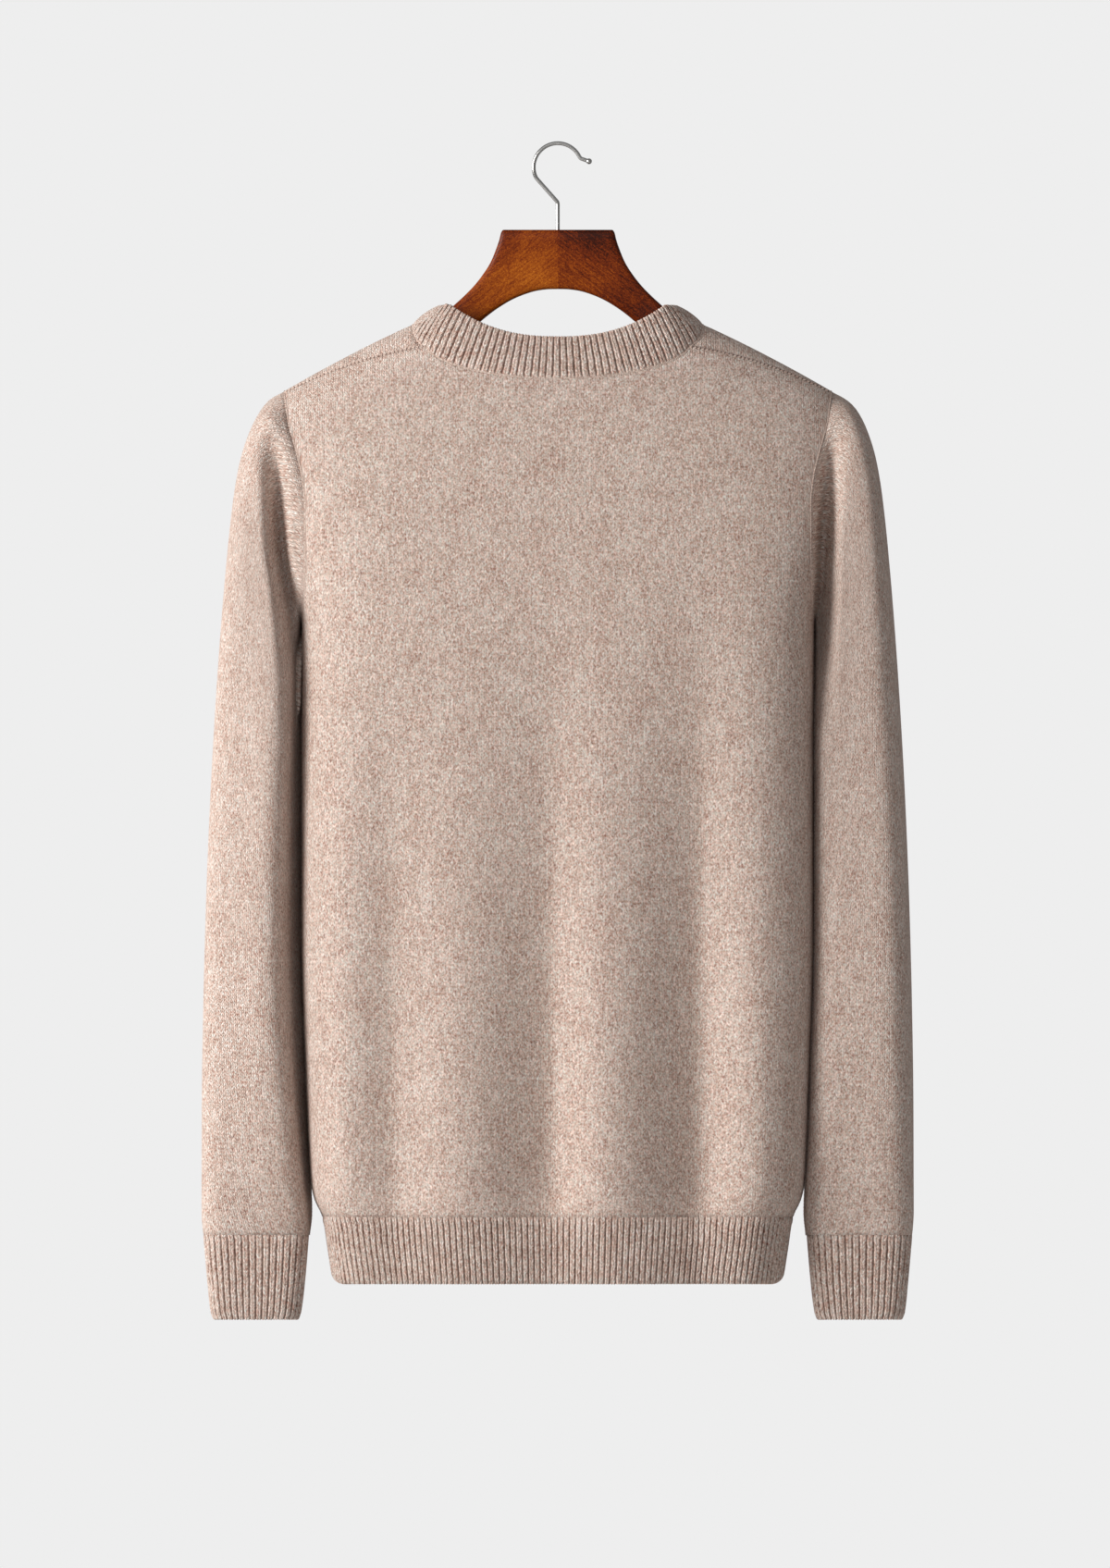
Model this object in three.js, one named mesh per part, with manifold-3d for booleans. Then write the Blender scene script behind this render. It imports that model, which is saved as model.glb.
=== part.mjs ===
// A plain-knit crew-neck sweater hanging on a wooden hanger.
// Millimetres, +Z up. The garment's back faces -Y and its front faces +Y.
// The origin is the inside top of the hook, where it bears on a rail, and every
// "down" below is a distance under it.

import * as THREE from 'three';
import { mergeVertices } from 'three/addons/utils/BufferGeometryUtils.js';
import Module from 'manifold-3d';

const wasm = await Module();
wasm.setup();

// ---- Cloth ----

const JERSEY = 2.5; // wall of the plain knit
const RIB = 3; // wall of the ribbed knit
const SEAM_GAP = 0.3; // clearance between two sewn pieces

// ---- Torso: shoulder line, neck and cross-sections ----

// The shoulder ridge starts at the neck and droops outward to the tip.
const NECK_X = 104;
const NECK_DOWN = 128.5;
const SHOULDER_FALL = 0.455;
const SHOULDER_DROOP = 0.0007;
const TIP_X = 196;
const ARMPIT_DOWN = 345;
const HEM_DOWN = 768;
const BOTTOM_DOWN = 816;

const BACK_NECK_DROP = 38.8;
const FRONT_NECK_DROP = 76.5;
const NECK_CORNER = 2.2; // superellipse exponent of the neck seam
const SEAM_NECK_X = 95; // where the shoulder seam meets the neck seam, on the back
const SEAM_NECK_REACH = -4.5; // the seam's place behind the ridge at the neck
const SEAM_TIP_REACH = -1.1; // and at the shoulder tip

// Horizontal sections of the torso, each a superellipse. `half` is half its width, `back` and
// `front` its depths behind and before the shoulder plane, `backCorner` and `frontCorner` the
// exponents there.
const TORSO = [
  { down: 100, half: 36, back: 20, front: 18, backCorner: 2.2, frontCorner: 2.2 },
  { down: 131, half: 104, back: 36, front: 33, backCorner: 2.2, frontCorner: 2.2 },
  { down: 147, half: 138, back: 43, front: 41, backCorner: 2.2, frontCorner: 2.2 },
  { down: 165, half: 174, back: 50, front: 50, backCorner: 2.2, frontCorner: 2.2 },
  { down: 176.3, half: 196, back: 54, front: 56, backCorner: 2.2, frontCorner: 2.2 },
  { down: 190, half: 207, back: 58, front: 63, backCorner: 2.35, frontCorner: 2.25 },
  { down: 205, half: 211, back: 63, front: 70, backCorner: 2.6, frontCorner: 2.3 },
  { down: 238, half: 207, back: 71, front: 80, backCorner: 3.1, frontCorner: 2.35 },
  { down: 270, half: 200, back: 77, front: 87, backCorner: 3.6, frontCorner: 2.4 },
  { down: 300, half: 192.5, back: 82, front: 91, backCorner: 4, frontCorner: 2.45 },
  { down: 345, half: 183.5, back: 86, front: 93, backCorner: 4.5, frontCorner: 2.5 },
  { down: 420, half: 183.5, back: 88, front: 92, backCorner: 4.5, frontCorner: 2.5 },
  { down: 560, half: 183.5, back: 86, front: 89, backCorner: 4.5, frontCorner: 2.5 },
  { down: 690, half: 179.5, back: 83, front: 85, backCorner: 4.3, frontCorner: 2.5 },
  { down: 745, half: 176.5, back: 80, front: 82, backCorner: 4, frontCorner: 2.5 },
  { down: 756, half: 174, back: 79, front: 81, backCorner: 3.9, frontCorner: 2.5 },
  { down: 768, half: 168.5, back: 76, front: 78, backCorner: 3.8, frontCorner: 2.5 },
  { down: 790, half: 165, back: 74, front: 76, backCorner: 3.7, frontCorner: 2.5 },
  { down: 811, half: 161.5, back: 72, front: 74, backCorner: 3.6, frontCorner: 2.5 },
  { down: 816, half: 157.5, back: 69, front: 71, backCorner: 3.6, frontCorner: 2.5 },
];

// Half the width of a body panel at the armhole, from the shoulder tip to the armpit.
const ARMHOLE = [
  { down: 176.3, half: 196 },
  { down: 199, half: 193 },
  { down: 219, half: 187.5 },
  { down: 238, half: 183 },
  { down: 257, half: 181 },
  { down: 300, half: 181 },
  { down: 345, half: 183.5 },
];

// Heights of a panel's rows of points, along the armhole and down the side seam.
const ARMHOLE_ROWS = [180, 187, 198, 218, 246, 280, 314, 336, ARMPIT_DOWN];
const SIDE_ROWS = [405, 490, 580, 660, 728, HEM_DOWN];
const RIB_ROWS = [HEM_DOWN, 790, 811, BOTTOM_DOWN];

// Numbers of points along the seams of the neck and shoulders.
const BACK_NECK_STEPS = 12;
const FRONT_NECK_STEPS = 14;
const EAR_STEPS = 4; // the front panel's neck edge behind the ridge
const SHOULDER_STEPS = 7;

// Soft vertical folds above the hem: each trough's place, its depth, its width to the left and
// to the right, and how far it runs up from the hem.
const FOLDS = [
  { side: -1, x: -119, depth: 14, left: 40, right: 50, reach: 450 },
  { side: -1, x: -5, depth: 23, left: 64, right: 40, reach: 480 },
  { side: -1, x: 102, depth: 29, left: 64, right: 46, reach: 520 },
  { side: 1, x: -104, depth: 18, left: 44, right: 58, reach: 430 },
  { side: 1, x: -8, depth: 16, left: 44, right: 50, reach: 380 },
  { side: 1, x: 102, depth: 21, left: 60, right: 42, reach: 470 },
];

const FOLD_FULL = 20; // height over the hem seam where they are deepest
const FOLD_SOFT = 0.12; // roundness of a fold's bottom
const RIB_CALM = 0.65; // how much of them the hem rib takes away
const RIB_CALM_OVER = 40; // and over what height

// ---- Neckband: its free edge ----

const COLLAR_NARROWING = 0.83; // its width over the seam's width
const COLLAR_TOP_DOWN = 115.5; // at the ridge
const COLLAR_BACK_DROP = 23.1;
const COLLAR_FRONT_DROP = 61;
const COLLAR_DIP_X = 78; // the edge dips between these two places
const COLLAR_DIP_CORNER = 2.4;
const COLLAR_BACK_LEAN = 0.87; // its depth over the seam's depth
const COLLAR_FRONT_LEAN = 0.84;
const COLLAR_SWELL = 1.2; // outward bow at half height

// ---- Sleeves ----

// Rings of the right sleeve from the armhole to the cuff. Each ring's plane holds its outermost
// point and its innermost point; `y` is its centre, `deep` half its depth, `turned` its share of
// the sleeve's turn, `crease` the depth of the fold between the sleeve and the body.
const SLEEVE = [
  { outX: 199.5, outDown: 178.3, inX: 184.4, inDown: 343, y: 0, deep: 42.5, turned: 0, crease: 0 },
  { outX: 205, outDown: 181.2, inX: 185.4, inDown: 344.6, y: -1, deep: 43.5, turned: 0, crease: 4 },
  { outX: 211.5, outDown: 186.4, inX: 185.4, inDown: 348, y: -3, deep: 44, turned: 0.2, crease: 13 },
  { outX: 217.5, outDown: 195, inX: 185.3, inDown: 353, y: -5, deep: 45, turned: 0.4, crease: 18 },
  { outX: 223, outDown: 207.5, inX: 185, inDown: 360, y: -7, deep: 46, turned: 0.6, crease: 12 },
  { outX: 227.7, outDown: 223, inX: 184.7, inDown: 368, y: -9, deep: 46, turned: 0.8, crease: 5 },
  { outX: 231.3, outDown: 242, inX: 184.3, inDown: 378, y: -11, deep: 46, turned: 0.95, crease: 0 },
  { outX: 234.5, outDown: 267, inX: 184.3, inDown: 392, y: -13, deep: 46, turned: 1, crease: 0 },
  { outX: 238, outDown: 303, inX: 184.3, inDown: 412, y: -15, deep: 46, turned: 1, crease: 0 },
  { outX: 242, outDown: 352, inX: 184.3, inDown: 440, y: -16, deep: 46, turned: 1, crease: 0 },
  { outX: 246, outDown: 412, inX: 184.3, inDown: 480, y: -16, deep: 45, turned: 1, crease: 0 },
  { outX: 249.5, outDown: 478, inX: 184.3, inDown: 530, y: -16, deep: 44, turned: 1, crease: 0 },
  { outX: 252.2, outDown: 548, inX: 183.9, inDown: 585, y: -16, deep: 43, turned: 1, crease: 0 },
  { outX: 254, outDown: 618, inX: 182.2, inDown: 640, y: -15, deep: 42, turned: 0.9, crease: 0 },
  { outX: 255, outDown: 682, inX: 180.2, inDown: 692, y: -12, deep: 40, turned: 0.7, crease: 0 },
  { outX: 255.2, outDown: 735, inX: 177.7, inDown: 738, y: -7, deep: 37, turned: 0.5, crease: 0 },
  { outX: 255.3, outDown: 764, inX: 176.8, inDown: 764, y: -3, deep: 34.5, turned: 0.25, crease: 0 },
  { outX: 254.2, outDown: 781, inX: 178.3, inDown: 781, y: -1, deep: 32, turned: 0, crease: 0 },
];
const TURN = { right: -4, left: 19 }; // degrees that each sleeve hangs turned where `turned` is 1
const SLEEVE_CORNER = 4; // superellipse exponent of its sections
const ARMHOLE_DEEP = 43; // half the armhole's depth from back to front
const ARMHOLE_MEMORY = 0.72; // how much of the armhole's own shape each ring keeps from the last
const ARMHOLE_RINGS = 12; // rings over which the armhole's point spacing evens out
const CREASE_FRONT = 0.6; // depth of the front crease over the back one's
const CREASE_SPAN = { full: 35, fades: 95, gone: 150 }; // degrees up from the underarm

const CUFF = [
  { outX: 251.2, outDown: 815, inX: 181.2, inDown: 815, y: -1, deep: 29 },
  { outX: 248.8, outDown: 837, inX: 184, inDown: 837, y: -1, deep: 26.5 },
  { outX: 247.3, outDown: 841, inX: 185.4, inDown: 841, y: -1, deep: 25 },
];

// ---- Hanger ----

const HANGER_CLEARANCE = 1; // between the arms and the cloth that rests on them
const GLUE_LINE = 0.3; // between the two halves
// The right half, from the glue line outward: a section between an upper and a lower edge point.
const HANGER = [
  { topX: 0, topDown: 60.7, lowX: 0, lowDown: 103.2, deep: 8, corner: 8 },
  { topX: 20, topDown: 60.7, lowX: 6, lowDown: 103.3, deep: 8, corner: 8 },
  { topX: 38.5, topDown: 60.7, lowX: 12, lowDown: 103.9, deep: 8, corner: 8 },
  { topX: 40.4, topDown: 62.2, lowX: 14.5, lowDown: 104.3, deep: 8, corner: 8 },
  { topX: 42, topDown: 68, lowX: 18, lowDown: 105.1, deep: 8, corner: 8 },
  { topX: 44.4, topDown: 75, lowX: 22.5, lowDown: 106.5, deep: 8, corner: 8 },
  { topX: 48.2, topDown: 84, lowX: 28, lowDown: 108.6, deep: 8, corner: 8 },
  { topX: 53.5, topDown: 92.5, lowX: 34, lowDown: 111.4, deep: 8, corner: 8 },
  { topX: 60, topDown: 100.8, lowX: 41, lowDown: 115.6, deep: 8, corner: 7 },
  { topX: 67, topDown: 108, lowX: 48, lowDown: 120.5, deep: 8, corner: 6 },
  { topX: 76, topDown: 116.2, lowX: 57, lowDown: 128, deep: 8.5, corner: 5 },
  { topX: 87, topDown: 126.2, lowX: 68, lowDown: 138.4, deep: 9.5, corner: 4 },
  { topX: 98, topDown: 134.6, lowX: 80, lowDown: 149, deep: 11, corner: 3 },
];
// Where the cloth rests on the arm: the upper edge follows the shoulder ridge from here on.
const HANGER_SHOULDER = [
  { topX: 112, height: 27, deep: 13, corner: 2.4 },
  { topX: 130, height: 28, deep: 15.5, corner: 2.1 },
  { topX: 150, height: 28, deep: 17.5, corner: 2 },
  { topX: 168, height: 25, deep: 18, corner: 2 },
  { topX: 178, height: 19, deep: 15, corner: 2 },
  { topX: 183, height: 10, deep: 9, corner: 2 },
];
const HANGER_SLANT = 14; // how far the lower edge point lies inward of the upper one
const HANGER_SIDES = 20;

const HOOK_WIRE = 2.8; // diameter
const HOOK_LOOP = 17.3; // radius of the wire's centre line
const HOOK_BALL = 4.2; // diameter of the ball end
const HOOK_BEND_DOWN = 41; // where the shank turns toward the loop
const HOOK_FOOT_DOWN = 86; // the shank's end inside the wood
const HOOK_LEAVES = 206; // degrees: the loop meets the slanting stretch here
const HOOK_ENDS = 22; // and stops here
const HOOK_TIP = { x: 22.4, down: 11.6 };
const HOOK_BORE_CLEARANCE = 0.3;
const HOOK_SHANK = [HOOK_FOOT_DOWN, 74, 62, 52, 43.5]; // points up its straight part
const HOOK_SLANT = [0.4, 0.7]; // shares of the way from the bend to the loop
const HOOK_LOOP_STEPS = 28;
const HOOK_STEPS = 48;
const HOOK_SIDES = 8;
const BORE_LENGTH = 60;
const BORE_SIDES = 16;

// ---- Materials ----

const jersey = { color: 0xc9b4a3, roughness: 0.95, metalness: 0 };
const rib = { color: 0xb8a293, roughness: 0.95, metalness: 0 };
const wood = { color: 0x8e4715, roughness: 0.35, metalness: 0 };
const steel = { color: 0xc4c4c6, roughness: 0.25, metalness: 1 };

// ---- Small tools ----

const lerp = (a, b, t) => a + (b - a) * t;
const radians = THREE.MathUtils.degToRad;
const smooth = (t) => THREE.MathUtils.smoothstep(t, 0, 1);
const power = (value, exponent) => Math.sign(value) * Math.abs(value) ** exponent;
const steps = (count) => Array.from({ length: count + 1 }, (_, i) => i / count);

// A smooth value along a table whose rows rise in `down`, without overshoot between rows.
function profile(rows, name) {
  const x = rows.map((row) => row.down);
  const y = rows.map((row) => row[name]);
  const last = x.length - 1;
  const rise = (i) => (y[i + 1] - y[i]) / (x[i + 1] - x[i]);
  const slope = x.map((_, i) => {
    if (i === 0) return rise(0);
    if (i === last) return rise(last - 1);
    const [before, after] = [rise(i - 1), rise(i)];
    return before * after <= 0 ? 0 : (2 * before * after) / (before + after);
  });
  return (down) => {
    const at = THREE.MathUtils.clamp(down, x[0], x[last]);
    let i = 0;
    while (i < last - 1 && at > x[i + 1]) i += 1;
    const span = x[i + 1] - x[i];
    const t = (at - x[i]) / span;
    const rising = t * t * (3 - 2 * t);
    const bend = slope[i] * t * (1 - t) ** 2 - slope[i + 1] * t * t * (1 - t);
    return lerp(y[i], y[i + 1], rising) + span * bend;
  };
}

// Parameters from `from` to `to` whose points lie at even distances along a curve.
function spread(pointAt, from, to, count) {
  const fine = steps(400).map((t) => lerp(from, to, t));
  const points = fine.map(pointAt);
  const along = [0];
  for (let i = 1; i < points.length; i += 1) {
    along.push(along[i - 1] + points[i].distanceTo(points[i - 1]));
  }
  return steps(count).map((t) => {
    const target = t * along[along.length - 1];
    const i = Math.max(1, along.findIndex((length) => length >= target - 1e-9));
    const part = (target - along[i - 1]) / (along[i] - along[i - 1]);
    return lerp(fine[i - 1], fine[i], part);
  });
}

// ---- The torso's surface ----

const tableHalf = profile(TORSO, 'half');
const backDepth = profile(TORSO, 'back');
const frontDepth = profile(TORSO, 'front');
const backCorner = profile(TORSO, 'backCorner');
const frontCorner = profile(TORSO, 'frontCorner');
const armholeHalf = profile(ARMHOLE, 'half');

function ridgeDown(x) {
  const out = Math.abs(x) - NECK_X;
  return NECK_DOWN + SHOULDER_FALL * out + SHOULDER_DROOP * out * out;
}

const TIP_DOWN = ridgeDown(TIP_X);

// Half the torso's width: the ridge itself above the shoulder tip, the table below it.
function torsoHalf(down) {
  if (down > TIP_DOWN) return tableHalf(down);
  const inside = SHOULDER_FALL ** 2 + 4 * SHOULDER_DROOP * (down - NECK_DOWN);
  return NECK_X + (Math.sqrt(inside) - SHOULDER_FALL) / (2 * SHOULDER_DROOP);
}

function depthAt(down, side) {
  return side < 0 ? backDepth(down) : frontDepth(down);
}

function cornerAt(down, side) {
  return side < 0 ? backCorner(down) : frontCorner(down);
}

// How far the folds above the hem push the cloth in.
function foldDepth(x, down, side) {
  let sum = 0;
  for (const fold of FOLDS.filter((row) => row.side === side)) {
    const away = x - fold.x;
    const width = away < 0 ? fold.left : fold.right;
    const share = Math.min(1, Math.abs(away) / width);
    const valley = (Math.hypot(share, FOLD_SOFT) - FOLD_SOFT) / (Math.hypot(1, FOLD_SOFT) - FOLD_SOFT);
    const across = (1 - smooth(share) + (1 - valley) ** 2) / 2;
    const rising = 1 - smooth((HEM_DOWN - FOLD_FULL - down) / fold.reach);
    const falling = 1 - RIB_CALM * smooth((down - HEM_DOWN + FOLD_FULL) / RIB_CALM_OVER);
    sum += fold.depth * across * rising * falling;
  }
  return sum;
}

// The outward normal of the unfolded torso, from the superellipse that each height has.
function torsoNormal(x, y, down) {
  const side = y < 0 ? -1 : 1;
  const level = (px, py, pd) => {
    const n = cornerAt(pd, side);
    return (Math.abs(px) / torsoHalf(pd)) ** n + (Math.abs(py) / depthAt(pd, side)) ** n;
  };
  const e = 0.05;
  return new THREE.Vector3(
    level(x + e, y, down) - level(x - e, y, down),
    Math.abs(y) < e ? 0 : level(x, y + e, down) - level(x, y - e, down),
    level(x, y, down - e) - level(x, y, down + e),
  ).normalize();
}

// A place on the torso: x, and `reach`, whose square is the depth under the ridge. It is negative
// on the back and positive on the front, so a run of points can pass smoothly over a shoulder.
function torsoPlace(x, reach) {
  const down = ridgeDown(x) + reach * reach;
  const side = reach < 0 ? -1 : 1;
  const n = cornerAt(down, side);
  const fill = Math.max(0, 1 - (Math.abs(x) / torsoHalf(down)) ** n);
  const y = side * depthAt(down, side) * fill ** (1 / n);
  const normal = torsoNormal(x, y, down);
  const point = new THREE.Vector3(x, y, -down);
  const fold = foldDepth(x, down, side);
  point.add(new THREE.Vector3(-fold * normal.x, -fold * normal.y, 0));
  return { point, normal, x, reach, down };
}

function reachOf(x, down, side) {
  return side * Math.sqrt(Math.max(0, down - ridgeDown(x)));
}

// Half a panel's width: cut back at the armhole, the whole torso below it.
function panelHalf(down) {
  if (down < TIP_DOWN) return TIP_X;
  return down < ARMPIT_DOWN ? armholeHalf(down) : torsoHalf(down);
}

// ---- Seams ----

// The neck seam by angle: 0 is the right ridge, 90 the middle of the back, -90 of the front.
function neckPlace(angle) {
  const x = NECK_X * power(Math.cos(angle), 2 / NECK_CORNER);
  const drop = Math.sin(angle) < 0 ? FRONT_NECK_DROP : BACK_NECK_DROP;
  const down = NECK_DOWN + drop * Math.abs(Math.sin(angle)) ** (2 / NECK_CORNER);
  return torsoPlace(x, reachOf(x, down, Math.sin(angle) < 0 ? 1 : -1));
}

const earAngle = Math.acos((SEAM_NECK_X / NECK_X) ** (NECK_CORNER / 2));
const alongNeck = (from, to, count) => spread((a) => neckPlace(a).point, from, to, count);

// A panel's width is shared out by angle, so its columns gather where its sides round away.
const SHARE_CORNER = 0.8;
const seamShares = steps(SHOULDER_STEPS).map((t) => {
  const first = Math.asin((SEAM_NECK_X / TIP_X) ** (1 / SHARE_CORNER));
  return Math.sin(lerp(first, Math.PI / 2, t)) ** SHARE_CORNER;
});

function seamPlace(share) {
  const x = TIP_X * share;
  const t = (x - SEAM_NECK_X) / (TIP_X - SEAM_NECK_X);
  return { x, reach: lerp(SEAM_NECK_REACH, SEAM_TIP_REACH, t) };
}

// ---- Panels ----

// A column hangs from `x`, `reach` on the panel's top edge and keeps to `share` of its width.
const mirrored = (columns) => [
  ...columns.toReversed().map((c) => ({ x: -c.x, reach: c.reach, share: -c.share })),
  ...columns.slice(columns[0].x === 0 ? 1 : 0),
];

function backColumns() {
  const neck = alongNeck(Math.PI / 2, earAngle, BACK_NECK_STEPS / 2).slice(0, -1).map((angle) => {
    const place = neckPlace(angle);
    const x = Math.abs(place.x) < 1e-6 ? 0 : place.x;
    return { x, reach: place.reach, share: x / TIP_X };
  });
  const shoulder = seamShares.map((share) => ({ ...seamPlace(share), share }));
  return mirrored([...neck, ...shoulder]);
}

const RIDGE_SHARE = 0.57; // where the front's column under the ridge's neck end lies lower down
const EAR_SHARE = 0.66; // and the one under the shoulder seam's neck end

function frontColumns() {
  const push = RIDGE_SHARE - NECK_X / TIP_X;
  const neck = alongNeck(-Math.PI / 2, 0, FRONT_NECK_STEPS / 2).map((angle, i) => {
    const place = neckPlace(angle);
    const x = Math.abs(place.x) < 1e-6 ? 0 : place.x;
    const outward = push * ((2 * i) / FRONT_NECK_STEPS) ** 4;
    return { x, reach: place.reach, share: x / TIP_X + outward };
  });
  const ear = alongNeck(0, earAngle, EAR_STEPS).slice(1, -1).map((angle, i) => {
    const { x, reach } = neckPlace(angle);
    return { x, reach, share: lerp(RIDGE_SHARE, EAR_SHARE, (i + 1) / EAR_STEPS) };
  });
  const shoulder = seamShares.map((share) => {
    const t = (share - seamShares[0]) / (1 - seamShares[0]);
    return { ...seamPlace(share), share: lerp(EAR_SHARE, 1, t) };
  });
  return mirrored([...neck, ...ear, ...shoulder]);
}

const RIDGE_STEPS = 3; // rows that carry the front panel over the shoulder
const RIDGE_REACH = 1; // how far past the ridge those rows go
const LEAN_REACH = 4; // a column that starts off its own line has come back to it this far on

// The reach where a front column that starts at `reach` is well over the ridge.
const overRidge = (reach) => (RIDGE_REACH + reach + Math.hypot(reach, RIDGE_REACH)) / 2;

// A column's rows, as reaches from its top to the hem. They keep the edge column's proportions;
// on the front, the first few carry the cloth over the ridge in short steps.
function columnReaches(column, side) {
  const downs = [...ARMHOLE_ROWS, ...SIDE_ROWS];
  const edge = downs.map((down) => reachOf(panelHalf(down), down, side));
  const hem = reachOf(column.share * torsoHalf(HEM_DOWN), HEM_DOWN, side);
  const base = side < 0 ? column.reach : overRidge(column.reach);
  const start = side < 0 ? SEAM_TIP_REACH : overRidge(SEAM_TIP_REACH);
  const share = (reach) => (reach - start) / (edge[edge.length - 1] - start);
  const first = side < 0 ? [] : steps(RIDGE_STEPS).slice(0, -1);
  return [
    ...first.map((t) => lerp(column.reach, base, t)),
    base,
    ...edge.map((reach) => lerp(base, hem, share(reach))),
  ];
}

function columnPlace(column, reach) {
  let x = column.x;
  const top = ridgeDown(column.x) + column.reach ** 2;
  const off = column.x - column.share * panelHalf(top);
  const lean = off * Math.max(0, 1 - Math.abs(reach - column.reach) / LEAN_REACH) ** 2;
  for (let pass = 0; pass < 12; pass += 1) {
    x = column.share * panelHalf(ridgeDown(x) + reach * reach) + lean;
  }
  return torsoPlace(x, reach);
}

// A grid of places: rows from the top edge to the hem, columns from -X to +X.
function panelGrid(side) {
  const columns = (side < 0 ? backColumns() : frontColumns()).map((column) => (
    columnReaches(column, side).map((reach) => columnPlace(column, reach))
  ));
  return columns[0].map((_, row) => columns.map((places) => places[row]));
}

// The hem rib goes on from the panel's last row.
function ribGrid(panel, side) {
  const hem = panel[panel.length - 1];
  return RIB_ROWS.map((down, row) => hem.map((place) => {
    if (row === 0) return place;
    const x = (place.x / torsoHalf(HEM_DOWN)) * torsoHalf(down);
    return torsoPlace(x, reachOf(x, down, side));
  }));
}

// ---- Walls ----

const pointsOf = (grid) => grid.map((row) => row.map((place) => place.point.clone()));
const normalsOf = (grid) => grid.map((row) => row.map((place) => place.normal.clone()));

// Outward normals of a tube's points, from their neighbours along and round it.
function tubeNormals(points) {
  const last = points.length - 1;
  const count = points[0].length;
  const normals = points.map((row, r) => row.map((_, c) => {
    const along = points[Math.min(r + 1, last)][c].clone().sub(points[Math.max(r - 1, 0)][c]);
    const round = row[(c + 1) % count].clone().sub(row[(c + count - 1) % count]);
    return round.cross(along).normalize();
  }));
  const middle = Math.floor(last / 2);
  const centre = new THREE.Vector3();
  points[middle].forEach((point) => centre.addScaledVector(point, 1 / count));
  const agreement = points[middle].reduce((sum, point, c) => (
    sum + normals[middle][c].dot(point.clone().sub(centre))
  ), 0);
  if (agreement < 0) normals.flat().forEach((normal) => normal.negate());
  return normals;
}

// One edge of a grid: each point's place, its neighbours along the edge and the point inside it.
function edgeCells(points, edge, closed) {
  const lastRow = points.length - 1;
  const count = points[0].length;
  const beside = (c) => (closed ? (c + count) % count : THREE.MathUtils.clamp(c, 0, count - 1));
  const level = (r) => THREE.MathUtils.clamp(r, 0, lastRow);
  if (edge === 'top' || edge === 'bottom') {
    const [r, next] = edge === 'top' ? [0, 1] : [lastRow, lastRow - 1];
    return points[r].map((_, c) => ({
      r, c, before: points[r][beside(c - 1)], after: points[r][beside(c + 1)], inner: points[next][c],
    }));
  }
  const [c, next] = edge === 'left' ? [0, 1] : [count - 1, count - 2];
  return points.map((row, r) => ({
    r, c, before: points[level(r - 1)][c], after: points[level(r + 1)][c], inner: row[next],
  }));
}

const MITRE_LEAST = 0.3; // keeps a sharp corner from being drawn back too far

// Draws the named edges of a grid back by half the seam gap, within the cloth's own surface.
function drawBack(points, normals, edges, closed) {
  const pulls = points.map((row) => row.map(() => []));
  for (const edge of edges) {
    const cells = edgeCells(points, edge, closed);
    const across = cells.map(({ r, c, before, after }) => (
      after.clone().sub(before).cross(normals[r][c]).normalize()
    ));
    const agreement = cells.reduce((sum, { r, c, inner }, i) => (
      sum + across[i].dot(inner.clone().sub(points[r][c]))
    ), 0);
    cells.forEach(({ r, c }, i) => {
      pulls[r][c].push(across[i].multiplyScalar(Math.sign(agreement)));
    });
  }
  return points.map((row, r) => row.map((point, c) => {
    const sum = pulls[r][c].reduce((total, pull) => total.add(pull), new THREE.Vector3());
    const mitre = pulls[r][c].length < 2 ? 1 : 1 / Math.max(MITRE_LEAST, sum.lengthSq() / 2);
    return point.clone().addScaledVector(sum, (SEAM_GAP / 2) * mitre);
  }));
}

function solidGeometry(vertices, faces) {
  const geometry = new THREE.BufferGeometry();
  geometry.setAttribute('position', new THREE.Float32BufferAttribute(vertices.flat(), 3));
  geometry.setIndex(faces.flat());
  return geometry;
}

function volumeOf(vertices, faces) {
  const [a, b, c] = [new THREE.Vector3(), new THREE.Vector3(), new THREE.Vector3()];
  return faces.reduce((sum, [i, j, k]) => {
    a.fromArray(vertices[i]);
    b.fromArray(vertices[j]);
    c.fromArray(vertices[k]);
    return sum + a.dot(b.cross(c)) / 6;
  }, 0);
}

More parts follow.
